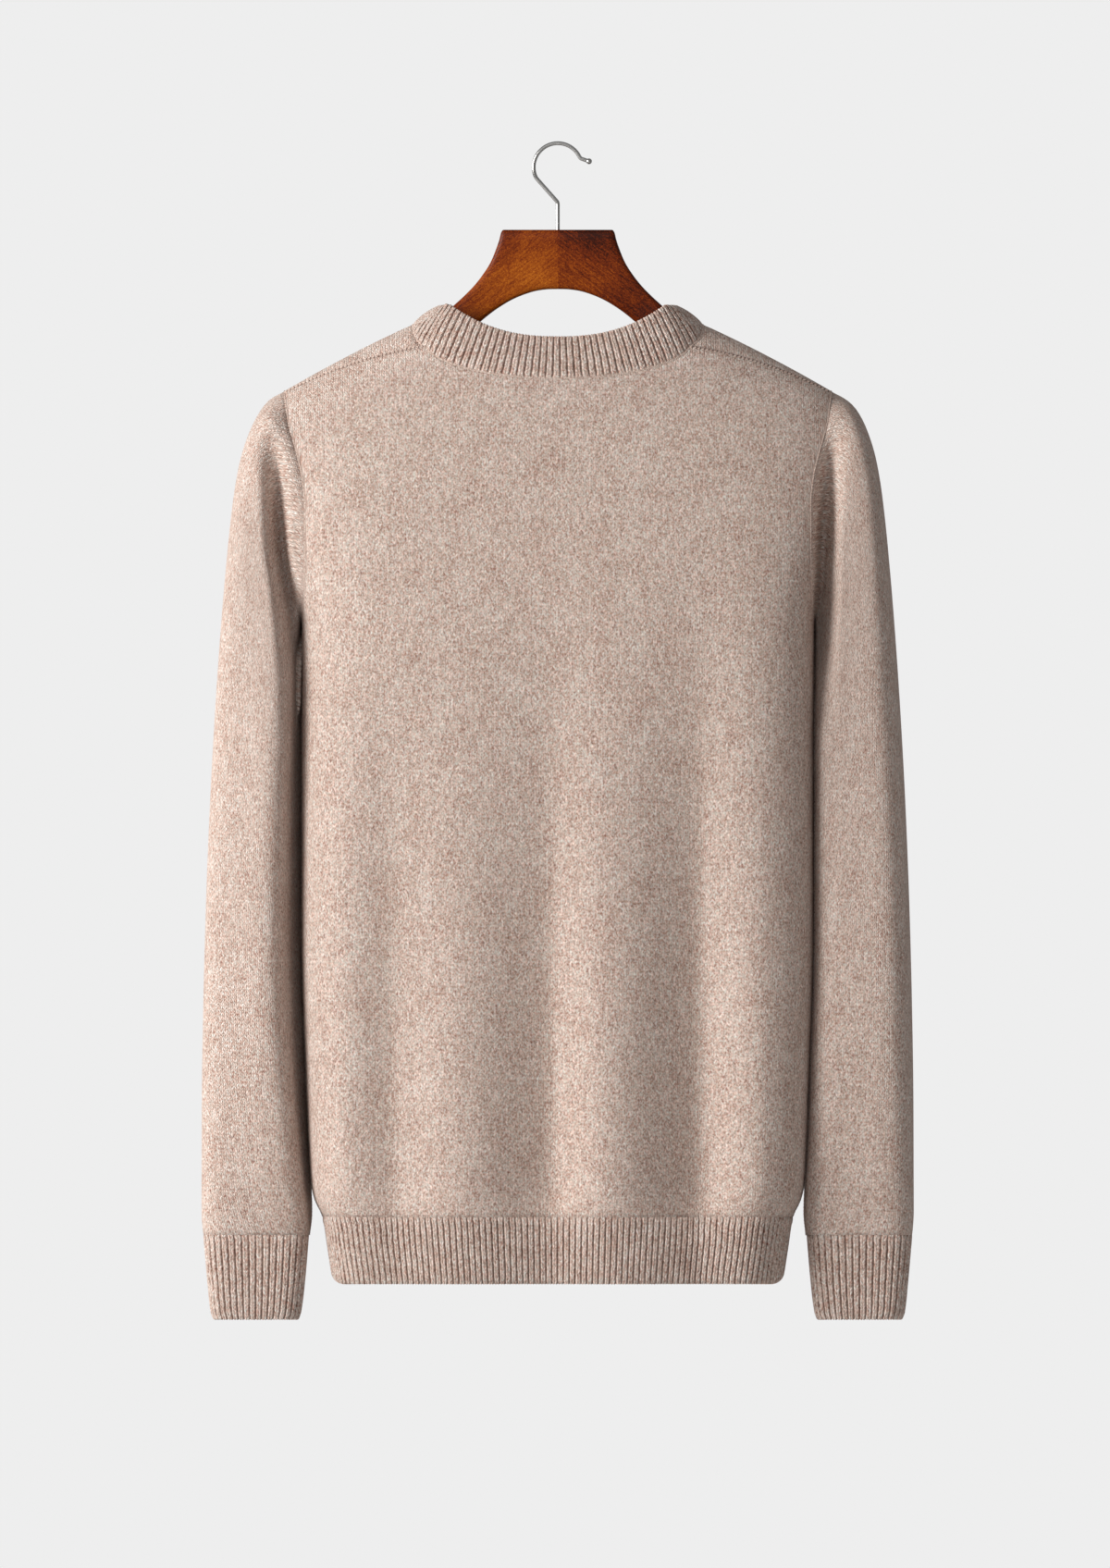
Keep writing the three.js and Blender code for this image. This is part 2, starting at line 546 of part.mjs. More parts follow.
// A closed wall: the grid's own surface, a second one inside it, and the rims between them.
function wall(points, normals, thickness, closed = false) {
  const rows = points.length;
  const columns = points[0].length;
  const inner = points.map((row, r) => row.map((point, c) => (
    point.clone().addScaledVector(normals[r][c], -thickness)
  )));
  const places = [...points.flat(), ...inner.flat()];
  const vertices = places.map((point) => point.toArray());
  const outside = (r, c) => r * columns + (c % columns);
  const inside = (r, c) => rows * columns + outside(r, c);
  const faces = [];
  // Each cell is split along its shorter diagonal.
  const quad = (a, b, c, d) => {
    if (places[a].distanceTo(places[c]) < places[b].distanceTo(places[d])) {
      faces.push([a, b, c], [a, c, d]);
    } else {
      faces.push([a, b, d], [b, c, d]);
    }
  };
  const spans = closed ? columns : columns - 1;
  for (let r = 0; r < rows - 1; r += 1) {
    for (let c = 0; c < spans; c += 1) {
      quad(outside(r, c), outside(r + 1, c), outside(r + 1, c + 1), outside(r, c + 1));
      quad(inside(r, c), inside(r, c + 1), inside(r + 1, c + 1), inside(r + 1, c));
    }
    if (!closed) {
      const end = columns - 1;
      quad(outside(r, 0), inside(r, 0), inside(r + 1, 0), outside(r + 1, 0));
      quad(outside(r, end), outside(r + 1, end), inside(r + 1, end), inside(r, end));
    }
  }
  for (let c = 0; c < spans; c += 1) {
    const end = rows - 1;
    quad(outside(0, c), outside(0, c + 1), inside(0, c + 1), inside(0, c));
    quad(outside(end, c), inside(end, c), inside(end, c + 1), outside(end, c + 1));
  }
  const turned = volumeOf(vertices, faces) < 0 ? faces.map(([a, b, c]) => [a, c, b]) : faces;
  return solidGeometry(vertices, turned);
}

// ---- Neckband ----

// The neck seam as the panels have it, all the way round: over the back, then over the front.
function neckSeam(back, front) {
  const inNeck = (place) => Math.abs(place.x) <= NECK_X + 1e-6;
  const behind = back[0].filter((place) => Math.abs(place.x) <= SEAM_NECK_X + 1e-6);
  const start = (front[0].length - 1) / 2 - FRONT_NECK_STEPS / 2 - EAR_STEPS;
  const before = front[0].slice(start + 1, front[0].length - 1 - start).filter(inNeck);
  return [...behind, ...before.toReversed()];
}

function collarTop({ x, point }) {
  const topX = x * COLLAR_NARROWING;
  const dip = Math.max(0, 1 - (Math.abs(topX) / COLLAR_DIP_X) ** COLLAR_DIP_CORNER);
  const behind = point.y < 0;
  const drop = behind ? COLLAR_BACK_DROP : COLLAR_FRONT_DROP;
  const lean = behind ? COLLAR_BACK_LEAN : COLLAR_FRONT_LEAN;
  return new THREE.Vector3(topX, point.y * lean, -COLLAR_TOP_DOWN - drop * dip);
}

function neckband(back, front) {
  const seam = neckSeam(back, front);
  const low = seam.map((place) => place.point.clone());
  const top = seam.map(collarTop);
  const middle = low.map((point, i) => point.clone().lerp(top[i], 0.5));
  const rows = [low, middle, top];
  const normals = tubeNormals(rows);
  normals[0] = seam.map((place) => place.normal.clone());
  middle.forEach((point, i) => point.addScaledVector(normals[1][i], COLLAR_SWELL));
  return wall(drawBack(rows, normals, ['top'], true), normals, RIB, true);
}

// ---- Sleeves and cuffs ----

// The armhole as the panels have it: from the armpit up the back, over the shoulder, down the front.
function armholeSeam(back, front) {
  const edge = (grid, rows) => grid.slice(0, rows + 1).map((row) => row[row.length - 1]);
  const behind = edge(back, ARMHOLE_ROWS.length).toReversed();
  const before = edge(front, ARMHOLE_ROWS.length + RIDGE_STEPS).slice(1, -1);
  return [...behind, ...before];
}

// Each seam point's angle round the sleeve, by its distance along the seam.
function seamAngles(points) {
  const along = [0];
  points.forEach((point, i) => {
    along.push(along[i] + point.distanceTo(points[(i + 1) % points.length]));
  });
  return points.map((_, i) => (2 * Math.PI * along[i]) / along[points.length]);
}

// A superellipse ring between an innermost and an outermost point. Angle 0 is the innermost
// point and 90 degrees is toward the back.
const WIDTH_STEPS = 360;

function ringPoint(ring, angle) {
  const inside = new THREE.Vector3(ring.inX, ring.y, -ring.inDown);
  const outside = new THREE.Vector3(ring.outX, ring.y, -ring.outDown);
  const centre = inside.clone().add(outside).multiplyScalar(0.5);
  const axis = outside.sub(inside);
  const reach = axis.length() / 2;
  axis.normalize();
  const turn = radians(ring.turn ?? 0);
  const exponent = 2 / (ring.corner ?? SLEEVE_CORNER);
  const place = (a) => {
    const across = -reach * power(Math.cos(a), exponent);
    const deep = -ring.deep * power(Math.sin(a), exponent);
    return {
      along: across * Math.cos(turn) - deep * Math.sin(turn),
      forward: across * Math.sin(turn) + deep * Math.cos(turn),
    };
  };
  // A turned ring keeps its width
  const width = turn === 0 ? reach
    : Math.max(...steps(WIDTH_STEPS).map((t) => Math.abs(place(2 * Math.PI * t).along)));
  const { along, forward } = place(angle);
  return centre.addScaledVector(axis, (along * reach) / width)
    .add(new THREE.Vector3(0, forward, 0));
}

// How much of the crease shows at an angle round the sleeve: none on the shoulder or underarm.
function creaseWindow(angle) {
  const turned = THREE.MathUtils.radToDeg(angle);
  const behind = turned <= 180;
  const fromArmpit = behind ? turned : 360 - turned;
  const { full, fades, gone } = CREASE_SPAN;
  const shown = smooth(fromArmpit / full) * (1 - smooth((fromArmpit - fades) / (gone - fades)));
  return behind ? shown : -shown * CREASE_FRONT;
}

function sleevePoints(seam, turn) {
  const start = seam.map((place) => place.point);
  const angles = seamAngles(start);
  const armholeRing = {
    outX: TIP_X, outDown: TIP_DOWN, inX: torsoHalf(ARMPIT_DOWN), inDown: ARMPIT_DOWN,
    y: 0, deep: ARMHOLE_DEEP,
  };
  const own = start.map((point, i) => point.clone().sub(ringPoint(armholeRing, angles[i])));
  const sections = SLEEVE.map((ring) => ({ ...ring, turn: ring.turned * turn }));
  const rings = sections.map((ring, row) => angles.map((angle, i) => {
    const memory = ARMHOLE_MEMORY ** (row + 1);
    const even = (2 * Math.PI * i) / angles.length;
    const point = ringPoint(ring, lerp(even, angle, Math.max(0, 1 - row / ARMHOLE_RINGS)));
    point.y += ring.crease * creaseWindow(angle);
    return point.addScaledVector(own[i], memory);
  }));
  return [start.map((point) => point.clone()), ...rings];
}

// The sleeve and cuff of an arm on the right, hung turned by so many degrees.
function arm(seam, turn) {
  const points = sleevePoints(seam, turn);
  const normals = tubeNormals(points);
  normals[0] = seam.map((place) => place.normal.clone());
  const wrist = points[points.length - 1];
  const wristNormals = normals[normals.length - 1];
  const cuffRings = CUFF.map((ring) => wrist.map((_, i) => (
    ringPoint(ring, (2 * Math.PI * i) / wrist.length)
  )));
  const cuffPoints = [wrist.map((point) => point.clone()), ...cuffRings];
  const cuffNormals = tubeNormals(cuffPoints);
  cuffNormals[0] = wristNormals.map((normal) => normal.clone());
  return {
    sleeve: wall(drawBack(points, normals, ['top', 'bottom'], true), normals, JERSEY, true),
    cuff: wall(drawBack(cuffPoints, cuffNormals, ['top'], true), cuffNormals, RIB, true),
  };
}

// ---- Hanger ----

function hangerRows() {
  const clothDrop = (x) => {
    const fall = SHOULDER_FALL + 2 * SHOULDER_DROOP * (x - NECK_X);
    return (JERSEY + HANGER_CLEARANCE) * Math.hypot(1, fall);
  };
  const shoulder = HANGER_SHOULDER.map((row) => {
    const topDown = ridgeDown(row.topX) + clothDrop(row.topX);
    const lowX = row.topX - HANGER_SLANT;
    return { ...row, topDown, lowX, lowDown: topDown + row.height };
  });
  return [...HANGER, ...shoulder];
}

// A closed bar through superellipse sections, one between each pair of edge points.
function hangerGeometry() {
  const rings = hangerRows().map((row) => {
    const ring = {
      inX: row.lowX + GLUE_LINE / 2, inDown: row.lowDown,
      outX: row.topX + GLUE_LINE / 2, outDown: row.topDown,
      y: 0, deep: row.deep, corner: row.corner,
    };
    return steps(HANGER_SIDES).slice(0, -1).map((t) => ringPoint(ring, 2 * Math.PI * t));
  });
  const vertices = rings.flat().map((point) => point.toArray());
  const faces = [];
  const at = (ring, side) => ring * HANGER_SIDES + (side % HANGER_SIDES);
  for (let ring = 0; ring < rings.length - 1; ring += 1) {
    for (let side = 0; side < HANGER_SIDES; side += 1) {
      faces.push([at(ring, side), at(ring, side + 1), at(ring + 1, side + 1)]);
      faces.push([at(ring, side), at(ring + 1, side + 1), at(ring + 1, side)]);
    }
  }
  for (let side = 1; side < HANGER_SIDES - 1; side += 1) {
    const end = rings.length - 1;
    faces.push([at(0, 0), at(0, side + 1), at(0, side)]);
    faces.push([at(end, 0), at(end, side), at(end, side + 1)]);
  }
  const turned = volumeOf(vertices, faces) < 0 ? faces.map(([a, b, c]) => [a, c, b]) : faces;
  return solidGeometry(vertices, turned);
}

// ---- Hook ----

function hookPath() {
  const centre = HOOK_WIRE / 2 - HOOK_LOOP; // height of the loop's centre
  const loop = steps(HOOK_LOOP_STEPS).map((t) => {
    const angle = radians(lerp(HOOK_LEAVES, HOOK_ENDS, t));
    return new THREE.Vector3(HOOK_LOOP * Math.cos(angle), 0, centre + HOOK_LOOP * Math.sin(angle));
  });
  const bend = new THREE.Vector3(0, 0, -HOOK_BEND_DOWN);
  const slant = HOOK_SLANT.map((t) => bend.clone().lerp(loop[0], t));
  const shank = HOOK_SHANK.map((down) => new THREE.Vector3(0, 0, -down));
  const tip = new THREE.Vector3(HOOK_TIP.x, 0, -HOOK_TIP.down);
  return new THREE.CatmullRomCurve3([...shank, ...slant, ...loop, tip], false, 'centripetal');
}

function wireSection(radius, sides) {
  const corners = steps(sides).slice(0, -1).map((t) => (
    new THREE.Vector2(radius * Math.cos(2 * Math.PI * t), radius * Math.sin(2 * Math.PI * t))
  ));
  return new THREE.Shape(corners);
}

// ---- Booleans ----

function solidOf(geometry) {
  const bare = geometry.index ? geometry.toNonIndexed() : geometry.clone();
  bare.deleteAttribute('normal');
  bare.deleteAttribute('uv');
  const merged = mergeVertices(bare, 1e-4);
  return new wasm.Manifold(new wasm.Mesh({
    numProp: 3,
    vertProperties: new Float32Array(merged.attributes.position.array),
    triVerts: new Uint32Array(merged.index.array),
  }));
}

function geometryOf(solid) {
  const mesh = solid.getMesh();
  const geometry = new THREE.BufferGeometry();
  geometry.setAttribute('position', new THREE.BufferAttribute(mesh.vertProperties, 3));
  geometry.setIndex(new THREE.BufferAttribute(mesh.triVerts, 1));
  return geometry;
}

function hookGeometry() {
  const wire = new THREE.ExtrudeGeometry(wireSection(HOOK_WIRE / 2, HOOK_SIDES), {
    steps: HOOK_STEPS,
    bevelEnabled: false,
    extrudePath: hookPath(),
  });
  const ball = new THREE.SphereGeometry(HOOK_BALL / 2, 10, 6);
  ball.translate(HOOK_TIP.x, 0, -HOOK_TIP.down);
  return geometryOf(solidOf(wire).add(solidOf(ball)));
}

// A half of the hanger with its share of the bore that takes the hook's shank.
function boredHalf(geometry) {
  const radius = HOOK_WIRE / 2 + HOOK_BORE_CLEARANCE;
  const bore = new THREE.CylinderGeometry(radius, radius, BORE_LENGTH, BORE_SIDES);
  bore.rotateX(Math.PI / 2);
  bore.translate(0, 0, -HOOK_FOOT_DOWN - HOOK_BORE_CLEARANCE + BORE_LENGTH / 2);
  return geometryOf(solidOf(geometry).subtract(solidOf(bore)));
}

// ---- The object ----

function mirrorX(geometry) {
  const copy = geometry.clone();
  copy.scale(-1, 1, 1);
  const index = copy.index.array;
  for (let i = 0; i < index.length; i += 3) [index[i], index[i + 1]] = [index[i + 1], index[i]];
  return copy;
}

const group = new THREE.Group();

function addPiece(name, geometry, look) {
  geometry.computeVertexNormals();
  const mesh = new THREE.Mesh(geometry, new THREE.MeshStandardMaterial(look));
  mesh.name = name;
  group.add(mesh);
}

function addPanel(name, grid, thickness, look, edges) {
  const normals = normalsOf(grid);
  addPiece(name, wall(drawBack(pointsOf(grid), normals, edges, false), normals, thickness), look);
}

const backGrid = panelGrid(-1);
const frontGrid = panelGrid(1);
const sewnAllRound = ['top', 'bottom', 'left', 'right'];
addPanel('back_panel', backGrid, JERSEY, jersey, sewnAllRound);
addPanel('front_panel', frontGrid, JERSEY, jersey, sewnAllRound);
addPanel('hem_rib_back', ribGrid(backGrid, -1), RIB, rib, ['top', 'left', 'right']);
addPanel('hem_rib_front', ribGrid(frontGrid, 1), RIB, rib, ['top', 'left', 'right']);
addPiece('neckband', neckband(backGrid, frontGrid), rib);

const seamOfArm = armholeSeam(backGrid, frontGrid);
const right = arm(seamOfArm, TURN.right);
const left = arm(seamOfArm, TURN.left);
addPiece('sleeve_right', right.sleeve, jersey);
addPiece('sleeve_left', mirrorX(left.sleeve), jersey);
addPiece('cuff_right', right.cuff, rib);
addPiece('cuff_left', mirrorX(left.cuff), rib);

const half = hangerGeometry();
addPiece('hanger_arm_right', boredHalf(half), wood);
addPiece('hanger_arm_left', boredHalf(mirrorX(half)), wood);
addPiece('hook', hookGeometry(), steel);

export default group;
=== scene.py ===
# The looks of a plain-knit crew-neck sweater on a wooden hanger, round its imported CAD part.
# The CAD's frame: +Z up, the garment's back faces -Y, the origin is the inside top of the hook.
# Shapes are worked out in millimetres; "down" is a distance under the origin.

import bpy
import numpy as np
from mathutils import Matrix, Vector


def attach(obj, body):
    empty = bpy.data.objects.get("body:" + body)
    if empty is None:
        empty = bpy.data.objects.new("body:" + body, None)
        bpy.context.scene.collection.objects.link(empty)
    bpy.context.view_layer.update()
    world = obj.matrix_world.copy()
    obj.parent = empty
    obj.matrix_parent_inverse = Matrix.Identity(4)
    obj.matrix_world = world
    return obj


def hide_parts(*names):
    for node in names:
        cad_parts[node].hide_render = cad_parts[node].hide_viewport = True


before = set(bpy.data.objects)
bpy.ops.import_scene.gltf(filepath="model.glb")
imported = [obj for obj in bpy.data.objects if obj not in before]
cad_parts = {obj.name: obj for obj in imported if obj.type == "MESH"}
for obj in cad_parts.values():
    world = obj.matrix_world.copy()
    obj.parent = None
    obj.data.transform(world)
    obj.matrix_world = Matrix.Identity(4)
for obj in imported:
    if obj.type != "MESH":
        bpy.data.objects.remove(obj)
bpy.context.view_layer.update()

MM = 0.001

# ---- Sizes shared with the CAD source ----

JERSEY = 2.5  # thickness of the plain knit
RIB = 3.0  # thickness of the ribbed knit

# The shoulder ridge starts at the neck and droops outward to the tip.
NECK_X = 104
NECK_DOWN = 128.5
SHOULDER_FALL = 0.455
SHOULDER_DROOP = 0.0007
TIP_X = 196
ARMPIT_DOWN = 345
HEM_DOWN = 768
BOTTOM_DOWN = 814.8

BACK_NECK_DROP = 38.8
FRONT_NECK_DROP = 76.5
NECK_CORNER = 2.2
SEAM_NECK_X = 95
SEAM_NECK_REACH = -4.5
SEAM_TIP_REACH = -1.1

# down, half width, depth behind, depth before, superellipse exponent behind and before
TORSO = [
    (100, 36, 20, 18, 2.2, 2.2),
    (131, 104, 36, 33, 2.2, 2.2),
    (147, 138, 43, 41, 2.2, 2.2),
    (165, 174, 50, 50, 2.2, 2.2),
    (176.3, 196, 54, 56, 2.2, 2.2),
    (190, 207, 58, 63, 2.35, 2.25),
    (205, 211, 63, 70, 2.6, 2.3),
    (238, 207, 71, 80, 3.1, 2.35),
    (270, 200, 77, 87, 3.6, 2.4),
    (300, 192.5, 82, 91, 4, 2.45),
    (345, 183.5, 86, 93, 4.5, 2.5),
    (420, 183.5, 88, 92, 4.5, 2.5),
    (560, 183.5, 86, 89, 4.5, 2.5),
    (690, 179.5, 83, 85, 4.3, 2.5),
    (745, 176.5, 80, 82, 4, 2.5),
    (756, 174, 79, 81, 3.9, 2.5),
    (768, 168.5, 76, 78, 3.8, 2.5),
    (790, 165, 74, 76, 3.7, 2.5),
    (811, 161.8, 72, 74, 3.6, 2.5),
    (814.8, 161.2, 70, 72, 3.6, 2.5),
]
# down, half a panel's width at the armhole
ARMHOLE = [
    (176.3, 196), (199, 193), (219, 187.5), (238, 183), (257, 181), (300, 181), (345, 183.5),
]
# side, x, depth, width to its left, width to its right, how far up from the hem
FOLDS = [
    (-1, -119, 14, 40, 50, 450),
    (-1, -5, 23, 64, 40, 480),
    (-1, 102, 29, 64, 46, 520),
    (1, -104, 18, 44, 58, 430),
    (1, -8, 16, 44, 50, 380),
    (1, 102, 21, 60, 42, 470),
]
FOLD_FULL = 20
FOLD_SOFT = 0.12  # roundness of a fold's bottom
RIB_CALM = 0.65
RIB_CALM_OVER = 40

COLLAR_NARROWING = 0.83
COLLAR_TOP_DOWN = 115.5
COLLAR_BACK_DROP = 23.1
COLLAR_FRONT_DROP = 61
COLLAR_DIP_X = 78
COLLAR_DIP_CORNER = 2.4
COLLAR_BACK_LEAN = 0.87
COLLAR_FRONT_LEAN = 0.84
COLLAR_SWELL = 1.2

# Rings of the right sleeve: outermost point, innermost point, centre y, half depth, turn's share
SLEEVE = [
    (199.5, 178.3, 184.3, 343, 0, 42.5, 0),
    (205, 181.2, 184.3, 344.6, -1, 43.5, 0),
    (211.5, 186.4, 184.3, 348, -3, 44, 0.2),
    (217.5, 195, 184.3, 353, -5, 45, 0.4),
    (223, 207.5, 184.3, 360, -7, 46, 0.6),
    (227.7, 223, 184.3, 368, -9, 46, 0.8),
    (231.3, 242, 184.3, 378, -11, 46, 0.95),
    (234.5, 267, 184.3, 392, -13, 46, 1),
    (238, 303, 184.3, 412, -15, 46, 1),
    (242, 352, 184.3, 440, -16, 46, 1),
    (246, 412, 184.3, 480, -16, 45, 1),
    (249.5, 478, 184.3, 530, -16, 44, 1),
    (252.2, 548, 183.9, 585, -16, 43, 1),
    (254, 618, 182.2, 640, -15, 42, 0.9),
    (255, 682, 180.2, 692, -12, 40, 0.7),
    (255.2, 735, 177.7, 738, -7, 37, 0.5),
    (255.3, 764, 176.8, 764, -3, 34.5, 0.25),
    (254.2, 781, 178.3, 781, -1, 32, 0),
]
# The sleeves hang turned: degrees at a share of 1
TURN = {"right": -4, "left": 19}
SLEEVE_CORNER = 4
ARMHOLE_DEEP = 43
ARMHOLE_MEMORY = 0.72
# The fold from the shoulder to the armpit: down, x on the right, x on the left, depth
GROOVE = [
    (202, 198, 203, 0), (218, 195, 202, 7), (240, 192, 200.5, 18), (267, 190.5, 199, 28),
    (294, 189.5, 196.8, 32), (320, 189, 193, 31), (352, 188.5, 190, 22), (385, 188, 188.5, 9),
    (425, 188, 188, 0),
]
GROOVE_IN, GROOVE_OUT = 9, 16
GROOVE_FRONT = 0.5
CUFF = [
    (251.2, 815, 181.2, 815, -1, 29, 0),
    (248.8, 837, 184, 837, -1, 26.5, 0),
    (247.3, 841, 185.4, 841, -1, 25, 0),
]

HANGER_CLEARANCE = 1
# Sections of the right arm: top edge point, low edge point, half depth, superellipse exponent
HANGER = [
    (0, 60.7, 0, 103.2, 8, 7),
    (20, 60.7, 6, 103.3, 8, 7),
    (38.5, 60.7, 12, 103.9, 8, 7),
    (40.4, 62.2, 14.5, 104.3, 8, 7),
    (42, 68, 18, 105.1, 8, 7),
    (44.4, 75, 22.5, 106.5, 8, 7),
    (48.2, 84, 28, 108.6, 8, 7),
    (53.5, 92.5, 34, 111.4, 8, 7),
    (60, 100.8, 41, 115.6, 8, 7),
    (67, 108, 48, 120.5, 8, 6),
    (76, 116.2, 57, 128, 8.5, 5),
    (87, 126.2, 68, 138.4, 9.5, 4),
    (98, 134.6, 80, 149, 11, 3),
]
# Where the cloth rests on it: top edge x, height, half depth, exponent
HANGER_SHOULDER = [
    (112, 27, 13, 2.4),
    (130, 28, 15.5, 2.1),
    (150, 28, 17.5, 2),
    (168, 25, 18, 2),
    (178, 19, 15, 2),
    (183, 10, 9, 2),
]
HANGER_SLANT = 14

HOOK_WIRE = 2.8
HOOK_LOOP = 17.3
HOOK_BALL = 4.2
HOOK_BEND_DOWN = 41
HOOK_FOOT_DOWN = 86
HOOK_LEAVES = 206
HOOK_ENDS = 22
HOOK_TIP = (22.4, 11.6)

# ---- Knit gauge ----

WALE = 3.4  # width of a column of stitches
COURSE = 2.5  # height of a row of stitches
RIB_WALE = 4.3
RIB_COURSE = 2.6
HEM_RIBS = 100  # on each panel
CUFF_RIBS = 48
NECK_RIBS = 120

# ---- Small tools ----


def lerp(a, b, t):
    return a + (b - a) * t


def smooth(t):
    t = np.clip(t, 0, 1)
    return t * t * (3 - 2 * t)


def power(value, exponent):
    return np.sign(value) * np.abs(value) ** exponent


def through(x, y):
    """A smooth curve through rising x, without overshoot between its points."""
    x, y = np.array(x, float), np.array(y, float)
    rise = np.diff(y) / np.diff(x)
    before, after = rise[:-1], rise[1:]
    with np.errstate(divide="ignore", invalid="ignore"):
        inner = np.where(before * after <= 0, 0, 2 * before * after / (before + after))
    slope = np.concatenate([rise[:1], inner, rise[-1:]])

    def value(at):
        at = np.clip(at, x[0], x[-1])
        i = np.clip(np.searchsorted(x, at) - 1, 0, len(x) - 2)
        span = x[i + 1] - x[i]
        t = (at - x[i]) / span
        bend = slope[i] * t * (1 - t) ** 2 - slope[i + 1] * t * t * (1 - t)
        return lerp(y[i], y[i + 1], t * t * (3 - 2 * t)) + span * bend

    return value


def column(rows, index):
    """A table's column as a smooth function of its first column."""
    return through([row[0] for row in rows], [row[index] for row in rows])


def unit(v):
    return v / np.maximum(np.linalg.norm(v, axis=-1, keepdims=True), 1e-12)


def lengths(points, axis=0):
    """Distances along a run of points, starting at 0."""
    step = np.linalg.norm(np.diff(points, axis=axis), axis=-1)
    zero = np.zeros_like(np.take(step, [0], axis=axis))
    return np.concatenate([zero, np.cumsum(step, axis=axis)], axis=axis)


def follow(at, along, points):
    """Vectors between `points`, which lie at distances `along`, at the distances `at`."""
    return np.stack([np.interp(at, along, points[:, k]) for k in range(3)], -1)


def resample(points, at):
    """Points of a polyline at shares `at` of its length."""
    along = lengths(points)
    return follow(at * along[-1], along, points)


# ---- The torso's surface ----

table_half = column(TORSO, 1)
back_depth = column(TORSO, 2)
front_depth = column(TORSO, 3)
back_corner = column(TORSO, 4)
front_corner = column(TORSO, 5)
armhole_half = column(ARMHOLE, 1)


def ridge_down(x):
    """How far down the shoulder ridge is at x."""
    out = np.abs(x) - NECK_X
    return NECK_DOWN + SHOULDER_FALL * out + SHOULDER_DROOP * out * out


TIP_DOWN = float(ridge_down(TIP_X))


def torso_half(down):
    """Half the torso's width: the ridge above the shoulder tips, the table below them."""
    inside = np.maximum(0, SHOULDER_FALL**2 + 4 * SHOULDER_DROOP * (down - NECK_DOWN))
    ridge = NECK_X + (np.sqrt(inside) - SHOULDER_FALL) / (2 * SHOULDER_DROOP)
    return np.where(down > TIP_DOWN, table_half(down), ridge)


def depth_at(down, side):
    return np.where(side < 0, back_depth(down), front_depth(down))


def corner_at(down, side):
    return np.where(side < 0, back_corner(down), front_corner(down))


def panel_half(down):
    """Half a panel's width, which is less than the torso's beside the armholes."""
    armhole = np.where(down < ARMPIT_DOWN, armhole_half(down), torso_half(down))
    return np.where(down < TIP_DOWN, TIP_X, armhole)


def fold_depth(x, down, side):
    """How far the folds above the hem draw the cloth in."""
    total = np.zeros(np.shape(x))
    soft_rise = np.hypot(1, FOLD_SOFT) - FOLD_SOFT
    for fold_side, fold_x, depth, left, right, reach in FOLDS:
        away = x - fold_x
        share = np.minimum(1, np.abs(away) / np.where(away < 0, left, right))
        valley = 1 - (np.hypot(share, FOLD_SOFT) - FOLD_SOFT) / soft_rise
        across = (1 - smooth(share) + valley**2) / 2
        rising = 1 - smooth((HEM_DOWN - FOLD_FULL - down) / reach)
        falling = 1 - RIB_CALM * smooth((down - HEM_DOWN + FOLD_FULL) / RIB_CALM_OVER)
        total = total + np.where(side == fold_side, depth * across * rising * falling, 0)
    return total


def torso_normal(x, y, down):
    """The outward normal of the torso's surface without its folds."""
    side = np.where(y < 0, -1, 1)
    e = 0.05

    def level(px, py, pd):
        n = corner_at(pd, side)
        return (np.abs(px) / torso_half(pd)) ** n + (np.abs(py) / depth_at(pd, side)) ** n

    return unit(np.stack([
        level(x + e, y, down) - level(x - e, y, down),
        np.where(np.abs(y) < e, 0, level(x, y + e, down) - level(x, y - e, down)),
        level(x, y, down - e) - level(x, y, down + e),
    ], -1))


def torso_place(x, reach):
    """Point, outward normal and down at x and `reach`, whose square is the depth under the ridge,
    negative on the back and positive on the front."""
    down = ridge_down(x) + reach * reach
    side = np.where(reach < 0, -1, 1)
    n = corner_at(down, side)
    fill = np.maximum(0, 1 - (np.abs(x) / torso_half(down)) ** n)
    y = side * depth_at(down, side) * fill ** (1 / n)
    normal = torso_normal(x, y, down)
    level = normal * (1, 1, 0)
    point = np.stack([x, y, -down], -1) - level * fold_depth(x, down, side)[..., None]
    return point, normal, down


def reach_of(x, down, side):
    """The reach, as torso_place takes it, of a point `down` under the origin."""
    return side * np.sqrt(np.maximum(0, down - ridge_down(x)))


# ---- Panels ----

RIDGE_SHARE = 0.57  # of the front's half width: the column where its neckline meets the ridge
EAR_SHARE = 0.66  # and the one where the neckline meets the shoulder seam
RIDGE_REACH = 1  # how softly the front's rows start over the ridge
LEAN_REACH = 4  # how soon the columns under the neckline run straight
MIDDLE_REACH = 8.5  # the neckline's usual reach, for the rows' spacing
SPACING = 4.0  # of a panel's columns and rows, about
GIRTH_DOWN = 560.0  # the level whose distance round sets the columns' spacing
OVER_ROWS = 8  # rows of the front from the shoulder seam over the ridge
WIDTH_ROUNDS = 12  # rounds that settle a panel's width and its fall


def over_ridge(reach):
    """The reach at which the front's even rows start, on the front of the ridge."""
    return (RIDGE_REACH + reach + np.hypot(reach, RIDGE_REACH)) / 2


def neck_curve(angle):
    """x and reach of the neckline; below 0 the angle is on the front."""
    x = NECK_X * power(np.cos(angle), 2 / NECK_CORNER)
    drop = np.where(np.sin(angle) < 0, FRONT_NECK_DROP, BACK_NECK_DROP)
    down = NECK_DOWN + drop * np.abs(np.sin(angle)) ** (2 / NECK_CORNER)
    return x, reach_of(x, down, np.where(np.sin(angle) < 0, 1, -1))


EAR_ANGLE = float(np.arccos((SEAM_NECK_X / NECK_X) ** (NECK_CORNER / 2)))


